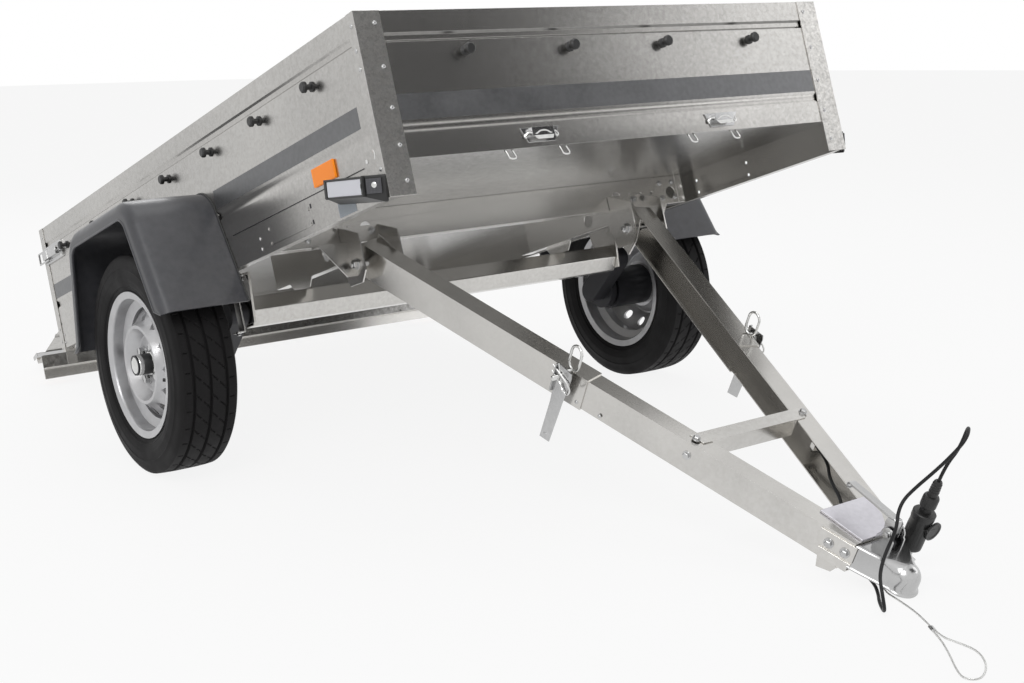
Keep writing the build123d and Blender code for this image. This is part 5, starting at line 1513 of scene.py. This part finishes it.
class TRAILER_OT_stage(Builder, bpy.types.Operator):
    """Lays the pale floor and sets the soft studio lights round the trailer"""

    bl_idname = "trailer.stage"
    bl_label = "Stage"

    def execute(self, context):
        self.lay_floor()
        self.set_sky(context.scene)
        self.set_lights(context.scene)
        self.hang_flag()
        return {"FINISHED"}

    def lay_floor(self):
        """Round paper floor."""
        t = bare_tree(bpy.data.materials.new("floor_paper"))
        paper = t.add("ShaderNodeBsdfDiffuse", {"Color": (PAPER, PAPER, PAPER, 1)}).outputs[0]
        glow = t.add("ShaderNodeEmission").outputs[0]
        t.add("ShaderNodeOutputMaterial", {"Surface": plain_view(t, glow, PAPER_SHARE, paper)})
        n = FLOOR_TURNS
        verts = [(0, 0, 0)] + [(r * c, r * s, 0) for r in FLOOR_RINGS for c, s in round_points(n)]
        faces = [(0, 1 + k, 1 + (k + 1) % n) for k in range(n)]
        faces += [face[::-1] for face in ring_faces(n, len(FLOOR_RINGS), first=1)]
        Shape(GROUND).add(verts, faces).make("studio_floor", "floor_paper", None)

    def set_sky(self, scene):
        """Soft dome, brighter above."""
        scene.world = bpy.data.worlds.new("studio_world")
        t = bare_tree(scene.world)
        strength = t.spread(generated(t, "Z"), *SKY)
        dome = t.add("ShaderNodeBackground", {"Strength": strength}).outputs[0]
        white = t.add("ShaderNodeBackground", {"Color": (1, 1, 1, 1)}).outputs[0]
        t.add("ShaderNodeOutputWorld", {"Surface": plain_view(t, white, 1.0, dome)})

    def set_lights(self, scene):
        """Soft box lights."""
        for name, spot, aim, size, power in LIGHTS:
            lamp = bpy.data.lights.new(name, "AREA")
            lamp.shape, lamp.size, lamp.size_y, lamp.energy = "RECTANGLE", *size, power
            stand = bpy.data.objects.new(name, lamp)
            stand.location = spot
            stand.rotation_euler = (Vector(aim) - Vector(spot)).to_track_quat("-Z", "Y").to_euler()
            scene.collection.objects.link(stand)
        scene.view_settings.view_transform = "Standard"

    def hang_flag(self):
        """Graded cloth beside the trailer."""
        t = bare_tree(bpy.data.materials.new("flag_graded"))
        ramp = t.add("ShaderNodeValToRGB", {"Fac": generated(t, "X")})
        shine = t.add("ShaderNodeEmission", {"Color": ramp.outputs["Color"]}).outputs[0]
        t.add("ShaderNodeOutputMaterial", {"Surface": shine})
        stops = ramp.color_ramp.elements
        for k, (share, tone) in enumerate(FLAG_TONES):
            stop = stops[k] if k < 2 else stops.new(share)
            stop.position, stop.color = share, (tone, tone, tone * 1.02, 1)
        spot, (wide, high), n = Vector(FLAG_SPOT), FLAG_SIZE, FLAG_CELLS
        way = (Vector(FLAG_AIM) - spot).normalized()
        across = way.cross(Vector((0, 0, 1))).normalized()
        up = across.cross(way).normalized()
        grid = [spot + across * wide * (i / n - 0.5) + up * high * (j / n - 0.5)
                for j in range(n + 1) for i in range(n + 1)]
        cloth = Shape(GROUND).add(grid, ring_faces(n + 1, n + 1, gap=1))
        flag = cloth.make("flag_front", "flag_graded", None)
        flag.visible_camera = flag.visible_diffuse = flag.visible_shadow = False
        flag.visible_transmission = False


# ---- panel, registration ----------------------------------------------------------------------

ORDER = (
    TRAILER_OT_camera, TRAILER_OT_finishes, TRAILER_OT_light_cable, TRAILER_OT_safety_cable,
    TRAILER_OT_tyres, TRAILER_OT_wheel_fittings, TRAILER_OT_mudguards, TRAILER_OT_tub_rivets,
    TRAILER_OT_bands, TRAILER_OT_tub_hooks, TRAILER_OT_chassis_fasteners, TRAILER_OT_drawbar_fasteners,
    TRAILER_OT_coupling, TRAILER_OT_locking_pins, TRAILER_OT_pin_clips, TRAILER_OT_marker_lamps,
    TRAILER_OT_reflectors, TRAILER_OT_tail_lamps, TRAILER_OT_gate_latches, TRAILER_OT_stage,
)


class TRAILER_PT_panel(bpy.types.Panel):
    """Lists the trailer's pieces and the values behind them"""

    bl_label = "Utility trailer"
    bl_idname = "TRAILER_PT_panel"
    bl_space_type = "VIEW_3D"
    bl_region_type = "UI"
    bl_category = "Trailer"

    def draw(self, context):
        for values in (context.scene.trailer_finishes, context.scene.trailer_sizes):
            box = self.layout.box()
            for key in values.__annotations__:
                box.prop(values, key)
        column = self.layout.column(align=True)
        for piece in ORDER:
            column.operator(piece.bl_idname)


CLASSES = (TRAILER_PG_finishes, TRAILER_PG_sizes, *ORDER, TRAILER_PT_panel)


def register():
    for each in CLASSES:
        bpy.utils.register_class(each)
    bpy.types.Scene.trailer_finishes = PointerProperty(type=TRAILER_PG_finishes)
    bpy.types.Scene.trailer_sizes = PointerProperty(type=TRAILER_PG_sizes)


def unregister():
    del bpy.types.Scene.trailer_sizes
    del bpy.types.Scene.trailer_finishes
    for each in reversed(CLASSES):
        bpy.utils.unregister_class(each)


def main():
    register()
    for piece in ORDER:
        group, action = piece.bl_idname.split(".")
        getattr(getattr(bpy.ops, group), action)()


if __name__ == "__main__":
    main()
